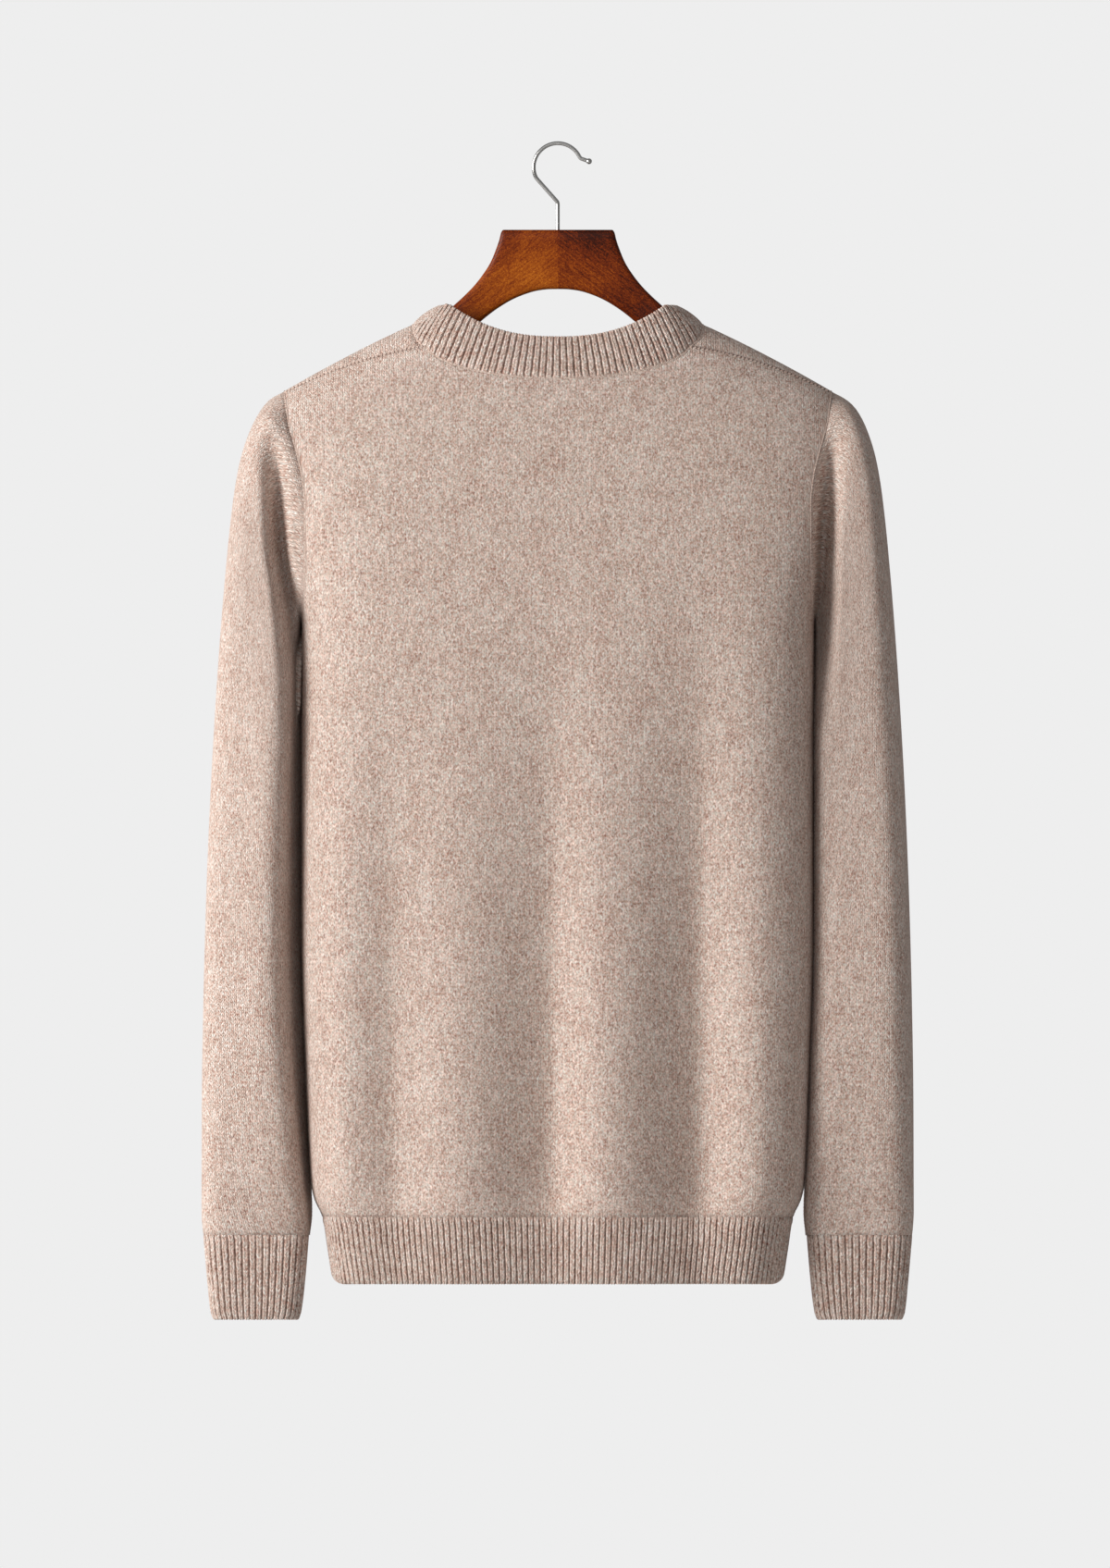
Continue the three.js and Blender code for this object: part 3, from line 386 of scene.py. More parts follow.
def sections(downs, side, count):
    """Sections of the torso from the middle to the side: shares of the half width, and the
    distances round to them."""
    t = np.linspace(0, np.pi / 2, count)
    n = corner_at(downs, side)[:, None]
    across = np.sin(t) ** (2 / n)
    half, depth = torso_half(downs)[:, None], depth_at(downs, side)[:, None]
    around = np.stack([half * across, depth * np.cos(t) ** (2 / n)], -1)
    return across, lengths(around, axis=1)


def even_shares(breaks, side):
    """Shares of a panel's half width at even distances round it, with the breaks among them."""
    across, along = [s[0] for s in sections(np.array([GIRTH_DOWN]), side, 4000)]
    marks = np.interp([0, *breaks, 1], across, along)
    parts = []
    for a, b in zip(marks[:-1], marks[1:]):
        count = max(2, int(round((b - a) / SPACING)))
        parts.append(np.linspace(a, b, count + 1)[:-1])
    along_at = np.concatenate([*parts, marks[-1:]])
    share = np.interp(along_at, along, across)
    return np.concatenate([-share[:0:-1], share])


def back_columns():
    """Each column's share of the half width, and the x and reach of its top."""
    share = even_shares([SEAM_NECK_X / TIP_X], -1)
    x = TIP_X * share
    at = np.abs(x)
    ratio = np.minimum(1, at / NECK_X)
    drop = np.maximum(0, 1 - ratio**NECK_CORNER) ** (1 / NECK_CORNER)
    neck = reach_of(x, NECK_DOWN + BACK_NECK_DROP * drop, -1)
    t = (at - SEAM_NECK_X) / (TIP_X - SEAM_NECK_X)
    seam = lerp(SEAM_NECK_REACH, SEAM_TIP_REACH, t)
    return share, x, np.where(at < SEAM_NECK_X - 1e-6, neck, seam)


def front_columns():
    """As back_columns; the front's top edge runs over the ridge to the shoulder seam."""
    share = even_shares([RIDGE_SHARE, EAR_SHARE], 1)
    neck_x, neck_reach = neck_curve(np.linspace(-np.pi / 2, 0, 1500))
    t = lengths(torso_place(neck_x, neck_reach)[0])
    t = t / t[-1]
    neck_share = neck_x / TIP_X + (RIDGE_SHARE - NECK_X / TIP_X) * t**4
    ear_x, ear_reach = neck_curve(np.linspace(0, EAR_ANGLE, 300))
    t = lengths(torso_place(ear_x, ear_reach)[0])
    ear_share = lerp(RIDGE_SHARE, EAR_SHARE, t / t[-1])
    seam_x = np.linspace(SEAM_NECK_X, TIP_X, 300)
    t = (seam_x - SEAM_NECK_X) / (TIP_X - SEAM_NECK_X)
    seam_share, seam_reach = lerp(EAR_SHARE, 1, t), lerp(SEAM_NECK_REACH, SEAM_TIP_REACH, t)
    shares = np.concatenate([neck_share, ear_share[1:], seam_share[1:]])
    at = np.abs(share)
    x = np.interp(at, shares, np.concatenate([neck_x, ear_x[1:], seam_x[1:]]))
    reach = np.interp(at, shares, np.concatenate([neck_reach, ear_reach[1:], seam_reach[1:]]))
    return share, np.sign(share) * x, reach


def row_shares(side):
    """How far down a column each row lies, and the index of the armpit's row."""
    hem = float(reach_of(panel_half(HEM_DOWN), HEM_DOWN, 1))
    start = abs(SEAM_TIP_REACH) if side < 0 else float(over_ridge(SEAM_TIP_REACH))
    pit = float(reach_of(panel_half(ARMPIT_DOWN), ARMPIT_DOWN, 1))
    at_pit = (pit - start) / (hem - start)
    deep = float(reach_of(0, HEM_DOWN, 1))

    def part(a, b):
        low, high = lerp(MIDDLE_REACH, deep, a) ** 2, lerp(MIDDLE_REACH, deep, b) ** 2
        count = int(round((high - low) / SPACING))
        return (np.sqrt(np.linspace(low, high, count + 1)) - MIDDLE_REACH) / (deep - MIDDLE_REACH)

    upper, lower = part(0, at_pit), part(at_pit, 1)
    return np.concatenate([upper, lower[1:]]), len(upper) - 1


def panel(side):
    """The back (-1) or front (1) as a grid of points from its top edge to the hem."""
    share, x0, reach0 = back_columns() if side < 0 else front_columns()
    base = reach0 if side < 0 else over_ridge(reach0)
    hem = reach_of(share * torso_half(HEM_DOWN), HEM_DOWN, side)
    rows, pit = row_shares(side)
    reach = lerp(base, hem, rows[:, None])
    if side > 0:
        over = np.linspace(0, 1, OVER_ROWS + 1)[:-1, None]
        reach = np.concatenate([lerp(reach0, base, over), reach])
        pit += len(over)
    off = x0 - share * panel_half(ridge_down(x0) + reach0**2)
    lean = off * np.maximum(0, 1 - np.abs(reach - reach0) / LEAN_REACH) ** 2
    x = np.broadcast_to(x0, reach.shape)
    for _ in range(WIDTH_ROUNDS):
        x = share * panel_half(ridge_down(x) + reach * reach) + lean
    point, normal, down = torso_place(x, reach)
    return {"point": point, "normal": normal, "down": down, "x": x, "share": share, "pit": pit}


WALE_LEVEL = 230.0  # the torso's section that gives the wales their spacing above it


def wales(x, down, side):
    """Distance round the body from its middle at each point, so that wales hang straight."""
    level = np.maximum(down, WALE_LEVEL)
    levels = np.linspace(WALE_LEVEL, BOTTOM_DOWN, 60)
    across, along = sections(levels, side, 600)
    grid = np.linspace(0, 1, 400)
    table = np.stack([np.interp(grid, across[i], along[i]) for i in range(len(levels))])
    a = np.clip((level - levels[0]) / (levels[1] - levels[0]), 0, len(levels) - 1.001)
    i = a.astype(int)
    share = np.clip(np.abs(x) / torso_half(level), 0, 1)
    b = share * (len(grid) - 1)
    j = np.minimum(b.astype(int), len(grid) - 2)
    fa, fb = a - i, b - j
    value = lerp(lerp(table[i, j], table[i, j + 1], fb),
                 lerp(table[i + 1, j], table[i + 1, j + 1], fb), fa)
    return np.sign(x) * value


# ---- Meshes ----


def add_object(name, data):
    added = bpy.data.objects.new(name, data)
    bpy.context.scene.collection.objects.link(added)
    return added


def add_mesh(name, points, faces, uvs, material):
    """A mesh object. `faces` is a list of arrays of equal-sided faces, `uvs` one per corner."""
    mesh = bpy.data.meshes.new(name)
    sizes = np.concatenate([np.full(len(f), f.shape[1]) for f in faces])
    corners = np.concatenate([f.ravel() for f in faces])
    mesh.vertices.add(len(points))
    mesh.vertices.foreach_set("co", (points * MM).astype(np.float32).ravel())
    mesh.loops.add(len(corners))
    mesh.loops.foreach_set("vertex_index", corners.astype(np.int32))
    mesh.polygons.add(len(sizes))
    starts = np.concatenate([[0], np.cumsum(sizes)[:-1]])
    mesh.polygons.foreach_set("loop_start", starts.astype(np.int32))
    mesh.polygons.foreach_set("loop_total", sizes.astype(np.int32))
    mesh.update(calc_edges=True)
    mesh.validate()
    layer = mesh.uv_layers.new(name="knit")
    flat = np.concatenate([u.reshape(-1, 2) for u in uvs])
    layer.data.foreach_set("uv", flat.astype(np.float32).ravel())
    mesh.shade_smooth()
    mesh.materials.append(material)
    return add_object(name, mesh)


def lip(outer, inner, before, count, bulge):
    """Rows of points round an edge, from the outer surface to the inner one. `before` is the row
    next to the edge."""
    middle, arm = (outer + inner) / 2, (outer - inner) / 2
    away = outer - before
    away = away - arm * (np.sum(away * arm, -1, keepdims=True)
                         / np.maximum(np.sum(arm * arm, -1, keepdims=True), 1e-9))
    away = unit(away) * np.linalg.norm(arm, axis=-1, keepdims=True) * bulge
    turns = np.pi * (np.arange(count) + 1) / (count + 1)
    return np.stack([middle + arm * np.cos(a) + away * np.sin(a) for a in turns])


def cloth(name, outer, inner, uv, closed, lips, material):
    """A shell of cloth between two grids of points, rows from top to bottom. `uv` has one more
    column than a closed grid. `lips` are (count, bulge) for the top edge and the bottom edge."""
    rows = len(outer)
    (top_count, top_bulge), (low_count, low_bulge) = lips
    low = lip(outer[-1], inner[-1], outer[-2], low_count, low_bulge)
    top = lip(outer[0], inner[0], outer[1], top_count, top_bulge)[::-1]
    grid = np.concatenate([outer, low, inner[::-1], top])
    low_uv = np.repeat(uv[-1:], low_count, 0)
    top_uv = np.repeat(uv[:1], top_count, 0)
    sheet_uv = np.concatenate([uv, low_uv, uv[::-1], top_uv])
    height, width = grid.shape[:2]
    spans = width if closed else width - 1
    r, c = np.meshgrid(np.arange(height), np.arange(spans), indexing="ij")
    r, c = r.ravel(), c.ravel()
    r2, c2 = (r + 1) % height, (c + 1) % width
    quads = np.stack([r * width + c, r2 * width + c, r2 * width + c2, r * width + c2], -1)
    corners = np.stack([sheet_uv[r, c], sheet_uv[r2, c], sheet_uv[r2, c + 1],
                        sheet_uv[r, c + 1]], 1)
    faces, uvs = [quads], [corners]
    if not closed:
        for end, turn in ((0, 1), (width - 1, -1)):
            a = np.arange(rows - 1)
            opposite = rows + low_count + (rows - 1 - a)
            side = np.stack([a, opposite, opposite - 1, a + 1], -1)[:, ::turn]
            faces.append(side * width + end)
            uvs.append(sheet_uv[side % height, end])
            low_rim = np.arange(rows - 1, rows + low_count + 1)[None, ::-turn]
            top_rim = (np.arange(-top_count - 1, 1) % height)[None, ::-turn]
            for rim in (low_rim, top_rim):
                faces.append(rim * width + end)
                uvs.append(sheet_uv[rim, end])
    return add_mesh(name, grid.reshape(-1, 3), faces, uvs, material)


def tube_normals(points):
    """Outward normals of a closed grid of points, from its neighbours."""
    along = np.gradient(points, axis=0)
    across = np.roll(points, -1, 1) - np.roll(points, 1, 1)
    normal = unit(np.cross(across, along))
    inward = np.sum(normal * (points - points.mean(1, keepdims=True))) < 0
    return -normal if inward else normal


# ---- Materials ----


def srgb(*values):
    """A linear colour from 0-255 sRGB values."""
    v = np.array(values, float) / 255
    linear = np.where(v <= 0.04045, v / 12.92, ((v + 0.055) / 1.055) ** 2.4)
    return (*linear.tolist(), 1.0)


def operation(name):
    return lambda value, *other: value.tree.math(name, value, *other)


class Value:
    """A node's output that can be added, multiplied and so on."""

    def __init__(self, tree, socket):
        self.tree, self.socket = tree, socket

    __add__, __sub__ = operation("ADD"), operation("SUBTRACT")
    __mul__, __truediv__ = operation("MULTIPLY"), operation("DIVIDE")
    __pow__, __abs__ = operation("POWER"), operation("ABSOLUTE")


class Nodes:
    """The node tree of a material or a world, with short calls for its nodes."""

    def __init__(self, name, kind=bpy.data.materials):
        self.owner = kind.new(name)
        self.owner.use_nodes = True
        self.tree = self.owner.node_tree
        self.tree.nodes.clear()

    def add(self, kind, inputs=None, **settings):
        node = self.tree.nodes.new("ShaderNode" + kind)
        for key, value in settings.items():
            setattr(node, key, value)
        for key, value in (inputs or {}).items():
            self.feed(node.inputs[key], value)
        return node

    def feed(self, socket, value):
        value = value.socket if isinstance(value, Value) else value
        if isinstance(value, bpy.types.NodeSocket):
            self.tree.links.new(value, socket)
        else:
            socket.default_value = value

    def math(self, operation, *values, clamp=False):
        node = self.add("Math", dict(enumerate(values)), operation=operation, use_clamp=clamp)
        return Value(self, node.outputs[0])

    def clamp(self, value):
        return self.math("ADD", value, 0.0, clamp=True)

    def mix(self, factor, a, b, blend="MIX"):
        return self.add("Mix", {0: factor, 6: a, 7: b}, data_type="RGBA",
                        blend_type=blend).outputs[2]

    def vector(self, x, y, z=0.0):
        return self.add("CombineXYZ", {"X": x, "Y": y, "Z": z}).outputs[0]

    def split(self, vector):
        return [Value(self, o) for o in self.add("SeparateXYZ", {"Vector": vector}).outputs]

    def noise(self, vector, scale, detail=2.0, roughness=0.5):
        values = {"Vector": vector, "Scale": scale, "Detail": detail, "Roughness": roughness}
        return Value(self, self.add("TexNoise", values).outputs["Fac"])

    def ramp(self, factor, stops):
        node = self.add("ValToRGB", {"Fac": factor})
        elements = node.color_ramp.elements
        while len(elements) < len(stops):
            elements.new(0.5)
        for element, (position, colour) in zip(elements, stops):
            element.position, element.color = position, colour
        return node.outputs["Color"]

    def knit_map(self):
        return self.add("UVMap", uv_map="knit").outputs[0]

    def position(self):
        return self.add("TexCoord").outputs["Object"]

    def mapping(self, vector, **settings):
        return self.add("Mapping", {"Vector": vector, **settings}).outputs[0]

    def bump(self, height, strength, distance):
        """Relief of a height map; `distance` is in millimetres."""
        values = {"Height": height, "Strength": strength, "Distance": distance * MM}
        return self.add("Bump", values).outputs[0]

    def finish(self, shader, output="OutputMaterial"):
        self.tree.links.new(shader.outputs[0], self.add(output).inputs["Surface"])
        return self.owner

    def principled(self, colour, normal, **settings):
        """Finishes the material with a Principled shader. `settings` has _ for each space."""
        values = {key.replace("_", " "): value for key, value in settings.items()}
        values.update({"Base Color": colour, "Normal": normal})
        return self.finish(self.add("BsdfPrincipled", values))


# The heathered yarn, from its dark fibres to its light ones.
YARN = [
    (0.0, srgb(134, 90, 76)),
    (0.25, srgb(178, 147, 133)),
    (0.5, srgb(207, 186, 173)),
    (0.75, srgb(228, 214, 205)),
    (1.0, srgb(250, 243, 236)),
]
HEATHER = 1.2  # contrast of the tufts
WOOL = {"Roughness": 0.95, "Sheen_Weight": 0.25, "Specular_IOR_Level": 0.2}


def knit(name, wale, course, ridge, lean, bump, gutter):
    """Stitches in a map whose unit is one stitch. `ridge` is the share of a wale's width that its
    stitches fill, `lean` how far a stitch's leg rises, `gutter` how strongly the rest, the
    gutters, is darkened with painted shade."""
    g = Nodes(name)
    place = g.knit_map()
    across, up, _ = g.split(place)
    u = across + (g.noise(place, 0.45) - 0.5) * 0.5
    v = up + (g.noise(g.vector(up, across), 0.6) - 0.5) * 0.7
    wale_place = g.math("FRACT", u) - 0.5
    away = abs(wale_place) / ridge  # 0 to 0.5 over the ridge
    phase = v - away * lean
    leg = g.math("SINE", g.math("FRACT", phase) * np.pi)
    side = g.math("SINE", g.math("MINIMUM", away, 0.5) * (2 * np.pi))
    height = g.math("MAXIMUM", leg, 0.0) ** 0.6 * g.math("MAXIMUM", side, 0.0) ** 0.5
    # One random value for each leg of each stitch
    which = g.math("FLOOR", u) * 2.0 + g.math("GREATER_THAN", wale_place, 0.0)
    stitch = {"Vector": g.vector(which, g.math("FLOOR", phase))}
    cell = Value(g, g.add("TexWhiteNoise", stitch, noise_dimensions="2D").outputs["Value"]) - 0.5
    # The heather: tufts of darker, redder fibre, and broad pale and dark areas
    yarn_place = g.vector(u * wale, v * (course * 0.8))
    fibre = g.noise(yarn_place, 0.72, 1.0) - 0.5
    tint = g.noise(g.vector(v * course, u * wale, 7.0), 0.6, 1.0) - 0.5
    blotch = g.noise(yarn_place, 0.045, 3.0, 0.6) - 0.5
    # Painted shade: the height term darkens each stitch where it dips between its legs and sides,
    # as shade falls there
    tone = fibre * HEATHER + cell * 0.34 + blotch * 0.3 + (height - 0.62) * 0.2 + 0.5
    colour = g.ramp(g.clamp(tone), YARN)
    warm = g.mix(g.clamp(tint * 3.4 + 0.5), (0.93, 1.0, 1.02, 1), (1.08, 0.98, 0.96, 1))
    colour = g.mix(1.0, colour, warm, "MULTIPLY")
    if gutter:
        # Painted shade: the gutters between the ribs' ridges are darkened toward dark brown,
        # where shade falls in the recess; their depth is also cut into the bump
        deep = g.clamp((abs(wale_place) - 0.5 * ridge) / (0.5 - 0.5 * ridge))
        colour = g.mix(deep * gutter, colour, srgb(116, 70, 54))
        height = height - deep
    grain = height + fibre * 0.9
    return g.principled(colour, g.bump(grain, 1.0, bump), Sheen_Roughness=0.6,
                        Sheen_Tint=srgb(240, 226, 214), **WOOL)


def seam_yarn():
    """Yarn. Its map counts stitches along the seam and says how strongly the gaps between them
    are darkened with painted shade.
    """
    g = Nodes("seam_yarn")
    tone = g.noise(g.position(), 900.0, 2.0, 0.6)
    colour = g.ramp(g.clamp((tone - 0.5) * 1.6 + 0.45), YARN)
    stitch, marks, _ = g.split(g.knit_map())
    gap = g.clamp(abs(g.math("FRACT", stitch) - 0.5) * -6.0 + 1.5)
    # Painted shade: the gaps between the stitches are darkened toward dark brown, where shade
    # falls between them
    colour = g.mix(gap * marks, colour, srgb(84, 54, 44))
    return g.principled(colour, g.bump(tone, 0.6, 0.3), **WOOL)


PAINTED_LIGHT_CENTRE = 0.012  # painted light: the wood is painted palest this far to the left of the joint, where the light from the left falls
PAINTED_SHADE_TOP = (-0.085, -0.0607)  # painted shade: the tone darkens up this stretch of z, toward the top edge
GRAIN_TURN = -38


def varnished_wood():
    """Chestnut with a satin varnish. The grain runs down and outward from the joint."""
    g = Nodes("varnished_wood")
    place = g.position()
    x, y, z = g.split(place)
    half = g.math("GREATER_THAN", x, 0.0)
    turned = g.mapping(g.vector(abs(x), y + half, z), Rotation=(0, np.radians(GRAIN_TURN), 0))
    streak = g.noise(g.mapping(turned, Scale=(20, 90, 260)), 3.0, 5.0, 0.62)
    pore = g.noise(g.mapping(turned, Scale=(800, 1200, 1700)), 1.0, 3.0, 0.75)
    cloud = g.noise(place, 28.0)
    # Painted light and shade: the tone is palest just left of the joint, and darker toward the
    # ends of the arms, on the right arm, which is turned from the light, and along the top
    ends = abs(x + PAINTED_LIGHT_CENTRE) * -5.0 + 0.12
    top = g.add("MapRange", {"Value": z, "From Min": PAINTED_SHADE_TOP[0], "From Max": PAINTED_SHADE_TOP[1],
                             "To Min": 0.0, "To Max": -0.3})
    tone = ((streak - 0.5) * 0.75 + (pore - 0.5) * 1.5 + (cloud - 0.5) * 0.5 + ends
            + half * -0.1 + top.outputs[0] + 0.5)
    colour = g.ramp(g.clamp(tone), [
        (0.0, srgb(48, 14, 4)), (0.3, srgb(112, 40, 6)), (0.6, srgb(158, 78, 14)),
        (1.0, srgb(206, 122, 34)),
    ])
    return g.principled(colour, g.bump(pore, 0.3, 0.1), Roughness=0.42, Coat_Weight=0.05,
                        Coat_Roughness=0.2, Specular_IOR_Level=0.12)


def hook_steel():
    """Bright drawn wire, with faint streaks along it."""
    g = Nodes("hook_steel")
    streak = g.noise(g.mapping(g.position(), Scale=(90, 90, 30)), 1.0)
    rough = (streak - 0.5) * 0.2 + 0.27
    colour = g.ramp(g.clamp((streak - 0.5) * 1.2 + 0.5),
                    [(0.0, srgb(160, 158, 155)), (1.0, srgb(206, 205, 203))])
    return g.principled(colour, g.bump(streak, 0.05, 0.02), Metallic=1.0, Roughness=rough)


jersey_knit = knit("jersey_knit", WALE, COURSE, 1.0, 2.0, 0.6, 0)
rib_knit = knit("rib_knit", RIB_WALE, RIB_COURSE, 0.8, 2.2, 0.7, 0.6)
seam_thread = seam_yarn()
wood = varnished_wood()
steel = hook_steel()

# ---- Body panels and their hem ribs ----

# A cloth's edge: rows of points round it, and how far it bulges in half thicknesses
SEAM_LIP = (1, 0.3)
FREE_LIP = (5, 1.0)
SEAM_SINK = 0.2  # how far a seamed edge dips into the cloth
TOP, BOTTOM, LEFT, RIGHT = np.s_[0, :], np.s_[-1, :], np.s_[:, 0], np.s_[:, -1]

panels = {-1: panel(-1), 1: panel(1)}


def sunk(points, normals, *edges):
    """The points with these edges dipped into the cloth."""
    away = np.zeros(points.shape[:2])
    for edge in edges:
        away[edge] = SEAM_SINK
    return points - normals * away[..., None]


def body_panel(side, name):
    p = panels[side]
    outer = sunk(p["point"], p["normal"], TOP, BOTTOM, LEFT, RIGHT)
    inner = p["point"] - p["normal"] * JERSEY
    up = lengths(p["point"][::-1])[::-1]
    uv = np.stack([wales(p["x"], p["down"], side) / WALE, up / COURSE], -1)
    return cloth(name, outer, inner, uv, False, (SEAM_LIP, SEAM_LIP), jersey_knit)


RIB_START = 0.5  # height of the loops that start the ribs
RIB_START_DOWN = 771
RIB_START_WIDE = 3
RIB_GROWS = 6  # the hem's ribs reach their full height over this
CUFF_RIB_GROWS = 9
RIB_END = 0.7  # share of the ribs' height that is left at a free edge
HEM_CORNER = 6.5
HEM_ROWS = np.concatenate([np.linspace(0, 0.875, 19), [0.917, 0.958, 0.985, 1]])[:, None]
HEM_RIB_ENDS = 0.92  # share of the hem's height
RIB_CREST, RIB_GUTTER = 0.3, 1.5
RIB_GUTTER_FROM = 0.52  # share of the way from a ridge's middle to the gutter's


def rib_relief(phase):
    """Height of a 1x1 rib across one pitch: a wide rounded ridge and a narrow gutter."""
    away = np.abs(phase % 1 - 0.5) * 2
    gutter = smooth((away - RIB_GUTTER_FROM) / (1 - RIB_GUTTER_FROM))
    return RIB_CREST - RIB_GUTTER * gutter - 0.12 * (1 - smooth(away / 0.3))


RIB_PHASES = np.array([0.0, 0.1, 0.19, 0.3, 0.5, 0.7, 0.81, 0.9])


def ribbed(count, closed):
    """Places of the columns of points over `count` ribs, in ribs."""
    place = (np.arange(count)[:, None] + RIB_PHASES).ravel()
    return place if closed else np.concatenate([place, [count]])


def rib_inside(points, normals, place, shown):
    return points - normals * (RIB + rib_relief(place + 0.5) * shown)[..., None]


def rib_map(place, rise):
    return np.stack(np.broadcast_arrays(place, rise / RIB_COURSE), -1)


def hem_rib(side, name):
    """The rib band below a panel, from side seam to side seam."""
    p = panels[side]
    around = wales(p["x"][-1], p["down"][-1], side)
    place = ribbed(HEM_RIBS, False)
    at = (place / HEM_RIBS * 2 - 1) * around[-1]
    share = np.interp(at, around, p["share"])
    # The lower corners are round
    past = np.clip(np.abs(share) * torso_half(BOTTOM_DOWN) - torso_half(BOTTOM_DOWN)
                   + HEM_CORNER, 0, HEM_CORNER * 0.98)
    lift = HEM_CORNER - np.sqrt(HEM_CORNER**2 - past**2)
    downs = HEM_DOWN + HEM_ROWS * (BOTTOM_DOWN - lift - HEM_DOWN)
    x = share * torso_half(downs)
    point, normal, _ = torso_place(x, reach_of(x, downs, side))
    shown = smooth((downs - HEM_DOWN) / RIB_GROWS)
    start = 1 - smooth(np.abs(downs - RIB_START_DOWN) / RIB_START_WIDE)
    relief = rib_relief(place) * shown + RIB_START * start
    relief = relief * np.where(HEM_ROWS > HEM_RIB_ENDS, RIB_END, 1)
    outer = sunk(point + normal * relief[..., None], normal, LEFT, RIGHT)
    inner = rib_inside(point, normal, place, shown)
    return cloth(name, outer, inner, rib_map(place, BOTTOM_DOWN - downs), False,
                 (SEAM_LIP, FREE_LIP), rib_knit)


# The pieces by name. One that stands for a CAD node has the node's name here.
pieces = {
    "back_panel": body_panel(-1, "back_cloth"),
    "front_panel": body_panel(1, "front_cloth"),
    "hem_rib_back": hem_rib(-1, "hem_rib_back_cloth"),
    "hem_rib_front": hem_rib(1, "hem_rib_front_cloth"),
}
# The front's grids run the other way round, so its faces are turned to point outward
for key in ("front_panel", "hem_rib_front"):
    pieces[key].data.flip_normals()

# ---- Neckband ----


def neck_seam():
    """The neck seam all round: over the back, then back over the front. Points and normals."""
    back, front = panels[-1], panels[1]
    behind = np.abs(back["x"][0]) <= SEAM_NECK_X + 1e-6
    inside = np.abs(front["share"]) <= EAR_SHARE + 1e-9
    points = np.concatenate([back["point"][0][behind], front["point"][0][inside][::-1][1:]])
    normals = np.concatenate([back["normal"][0][behind], front["normal"][0][inside][::-1][1:]])
    return points, normals


def collar_top(points):
    """The neckband's top edge above points of the neck seam."""
    x = points[:, 0] * COLLAR_NARROWING
    dip = np.maximum(0, 1 - (np.abs(x) / COLLAR_DIP_X) ** COLLAR_DIP_CORNER)
    behind = points[:, 1] < 0
    drop = np.where(behind, COLLAR_BACK_DROP, COLLAR_FRONT_DROP)
    lean = np.where(behind, COLLAR_BACK_LEAN, COLLAR_FRONT_LEAN)
    return np.stack([x, points[:, 1] * lean, -COLLAR_TOP_DOWN - drop * dip], -1)


NECKBAND_ROWS = np.concatenate([np.linspace(0, 0.86, 13), [0.92, 0.97, 1]])[:, None, None]
# Shares of the neckband's height
NECKBAND_TURNS = 0.4  # it leaves the panels' slope over this
NECKBAND_RIB_GROWS, NECKBAND_RIB_FADES = 0.16, 0.15
NECKBAND_RIB_LOST = 0.35


def neckband(name):
    points, normals = neck_seam()
    place = ribbed(NECK_RIBS, True)
    at = place / NECK_RIBS
    low = resample(points, at)
    along = lengths(points)
    seam_normal = unit(follow(at * along[-1], along, normals))
    top = collar_top(low)
    t = NECKBAND_ROWS
    rows = lerp(low, top, t)
    normal = tube_normals(rows)
    rows = rows + normal * COLLAR_SWELL * 4 * t * (1 - t)
    normal = unit(lerp(seam_normal, normal, smooth(t / NECKBAND_TURNS)))
    t = t[..., 0]
    fade = smooth((t - (1 - NECKBAND_RIB_FADES)) / NECKBAND_RIB_FADES)
    shown = smooth(t / NECKBAND_RIB_GROWS) * (1 - NECKBAND_RIB_LOST * fade)
    outer = sunk(rows + normal * (rib_relief(place) * shown)[..., None], normal, TOP)
    inner = rib_inside(rows, normal, place, shown)
    uv = rib_map(np.append(place, NECK_RIBS), lengths(rows).mean(1)[::-1, None])
    return cloth(name, outer[::-1], inner[::-1], uv, True, (FREE_LIP, SEAM_LIP), rib_knit)


pieces["neckband"] = neckband("neckband_cloth")

# ---- Sleeves and cuffs ----

AROUND_SLEEVE = 144
SLEEVE_ROWS = 160
RING_STEPS = 1440


def ring_points(ring, angle, exponent):
    """Superellipse rings between an innermost and an outermost point; 90 degrees is the back."""
    out_x, out_down, in_x, in_down, y, deep, turn = ring
    inside = np.stack([in_x, y, -in_down], -1)
    outside = np.stack([out_x, y, -out_down], -1)
    centre, axis = (inside + outside) / 2, outside - inside
    reach = np.linalg.norm(axis, axis=-1) / 2
    axis = unit(axis)
    turn = np.radians(turn)
    reach, deep, turn = reach[..., None], deep[..., None], turn[..., None]
    a = -reach * power(np.cos(angle), 2 / exponent)
    b = -deep * power(np.sin(angle), 2 / exponent)
    outward = a * np.cos(turn) - b * np.sin(turn)
    forward = a * np.sin(turn) + b * np.cos(turn)
    # A turned ring keeps its width
    outward = outward * reach / np.abs(outward).max(-1, keepdims=True)
    points = centre[..., None, :] + axis[..., None, :] * outward[..., None]
    points[..., 1] += forward
    return points


def even_points(ring, share):
    """Points of rings at shares of each one's length, from its innermost point over the back."""
    dense = ring_points(ring, 2 * np.pi * np.arange(RING_STEPS + 1) / RING_STEPS, SLEEVE_CORNER)
    along = lengths(dense, axis=1)
    along = along / along[:, -1:]
    return np.stack([follow(share, a, d) for a, d in zip(along, dense)])


def armhole_seam(what="point"):
    """The right armhole's points or normals, from the armpit up the back and down the front."""
    back, front = panels[-1], panels[1]
    behind = back[what][: back["pit"] + 1, -1][::-1]
    before = front[what][: front["pit"] + 1, -1][1:]
    return np.concatenate([behind, before])


groove_line = {"right": column(GROOVE, 1), "left": column(GROOVE, 2)}
groove_deep = column(GROOVE, 3)
GROOVE_SHARP = 1.4


def groove(side, x, down, behind):
    """How far the sleeve's cloth is drawn in along the fold from the shoulder to the armpit."""
    away = x - groove_line[side](down)
    wall = 1 - smooth(np.abs(away) / np.where(away < 0, GROOVE_IN, GROOVE_OUT))
    drawn = groove_deep(down) * wall**GROOVE_SHARP
    return np.where(behind, drawn, -drawn * GROOVE_FRONT)


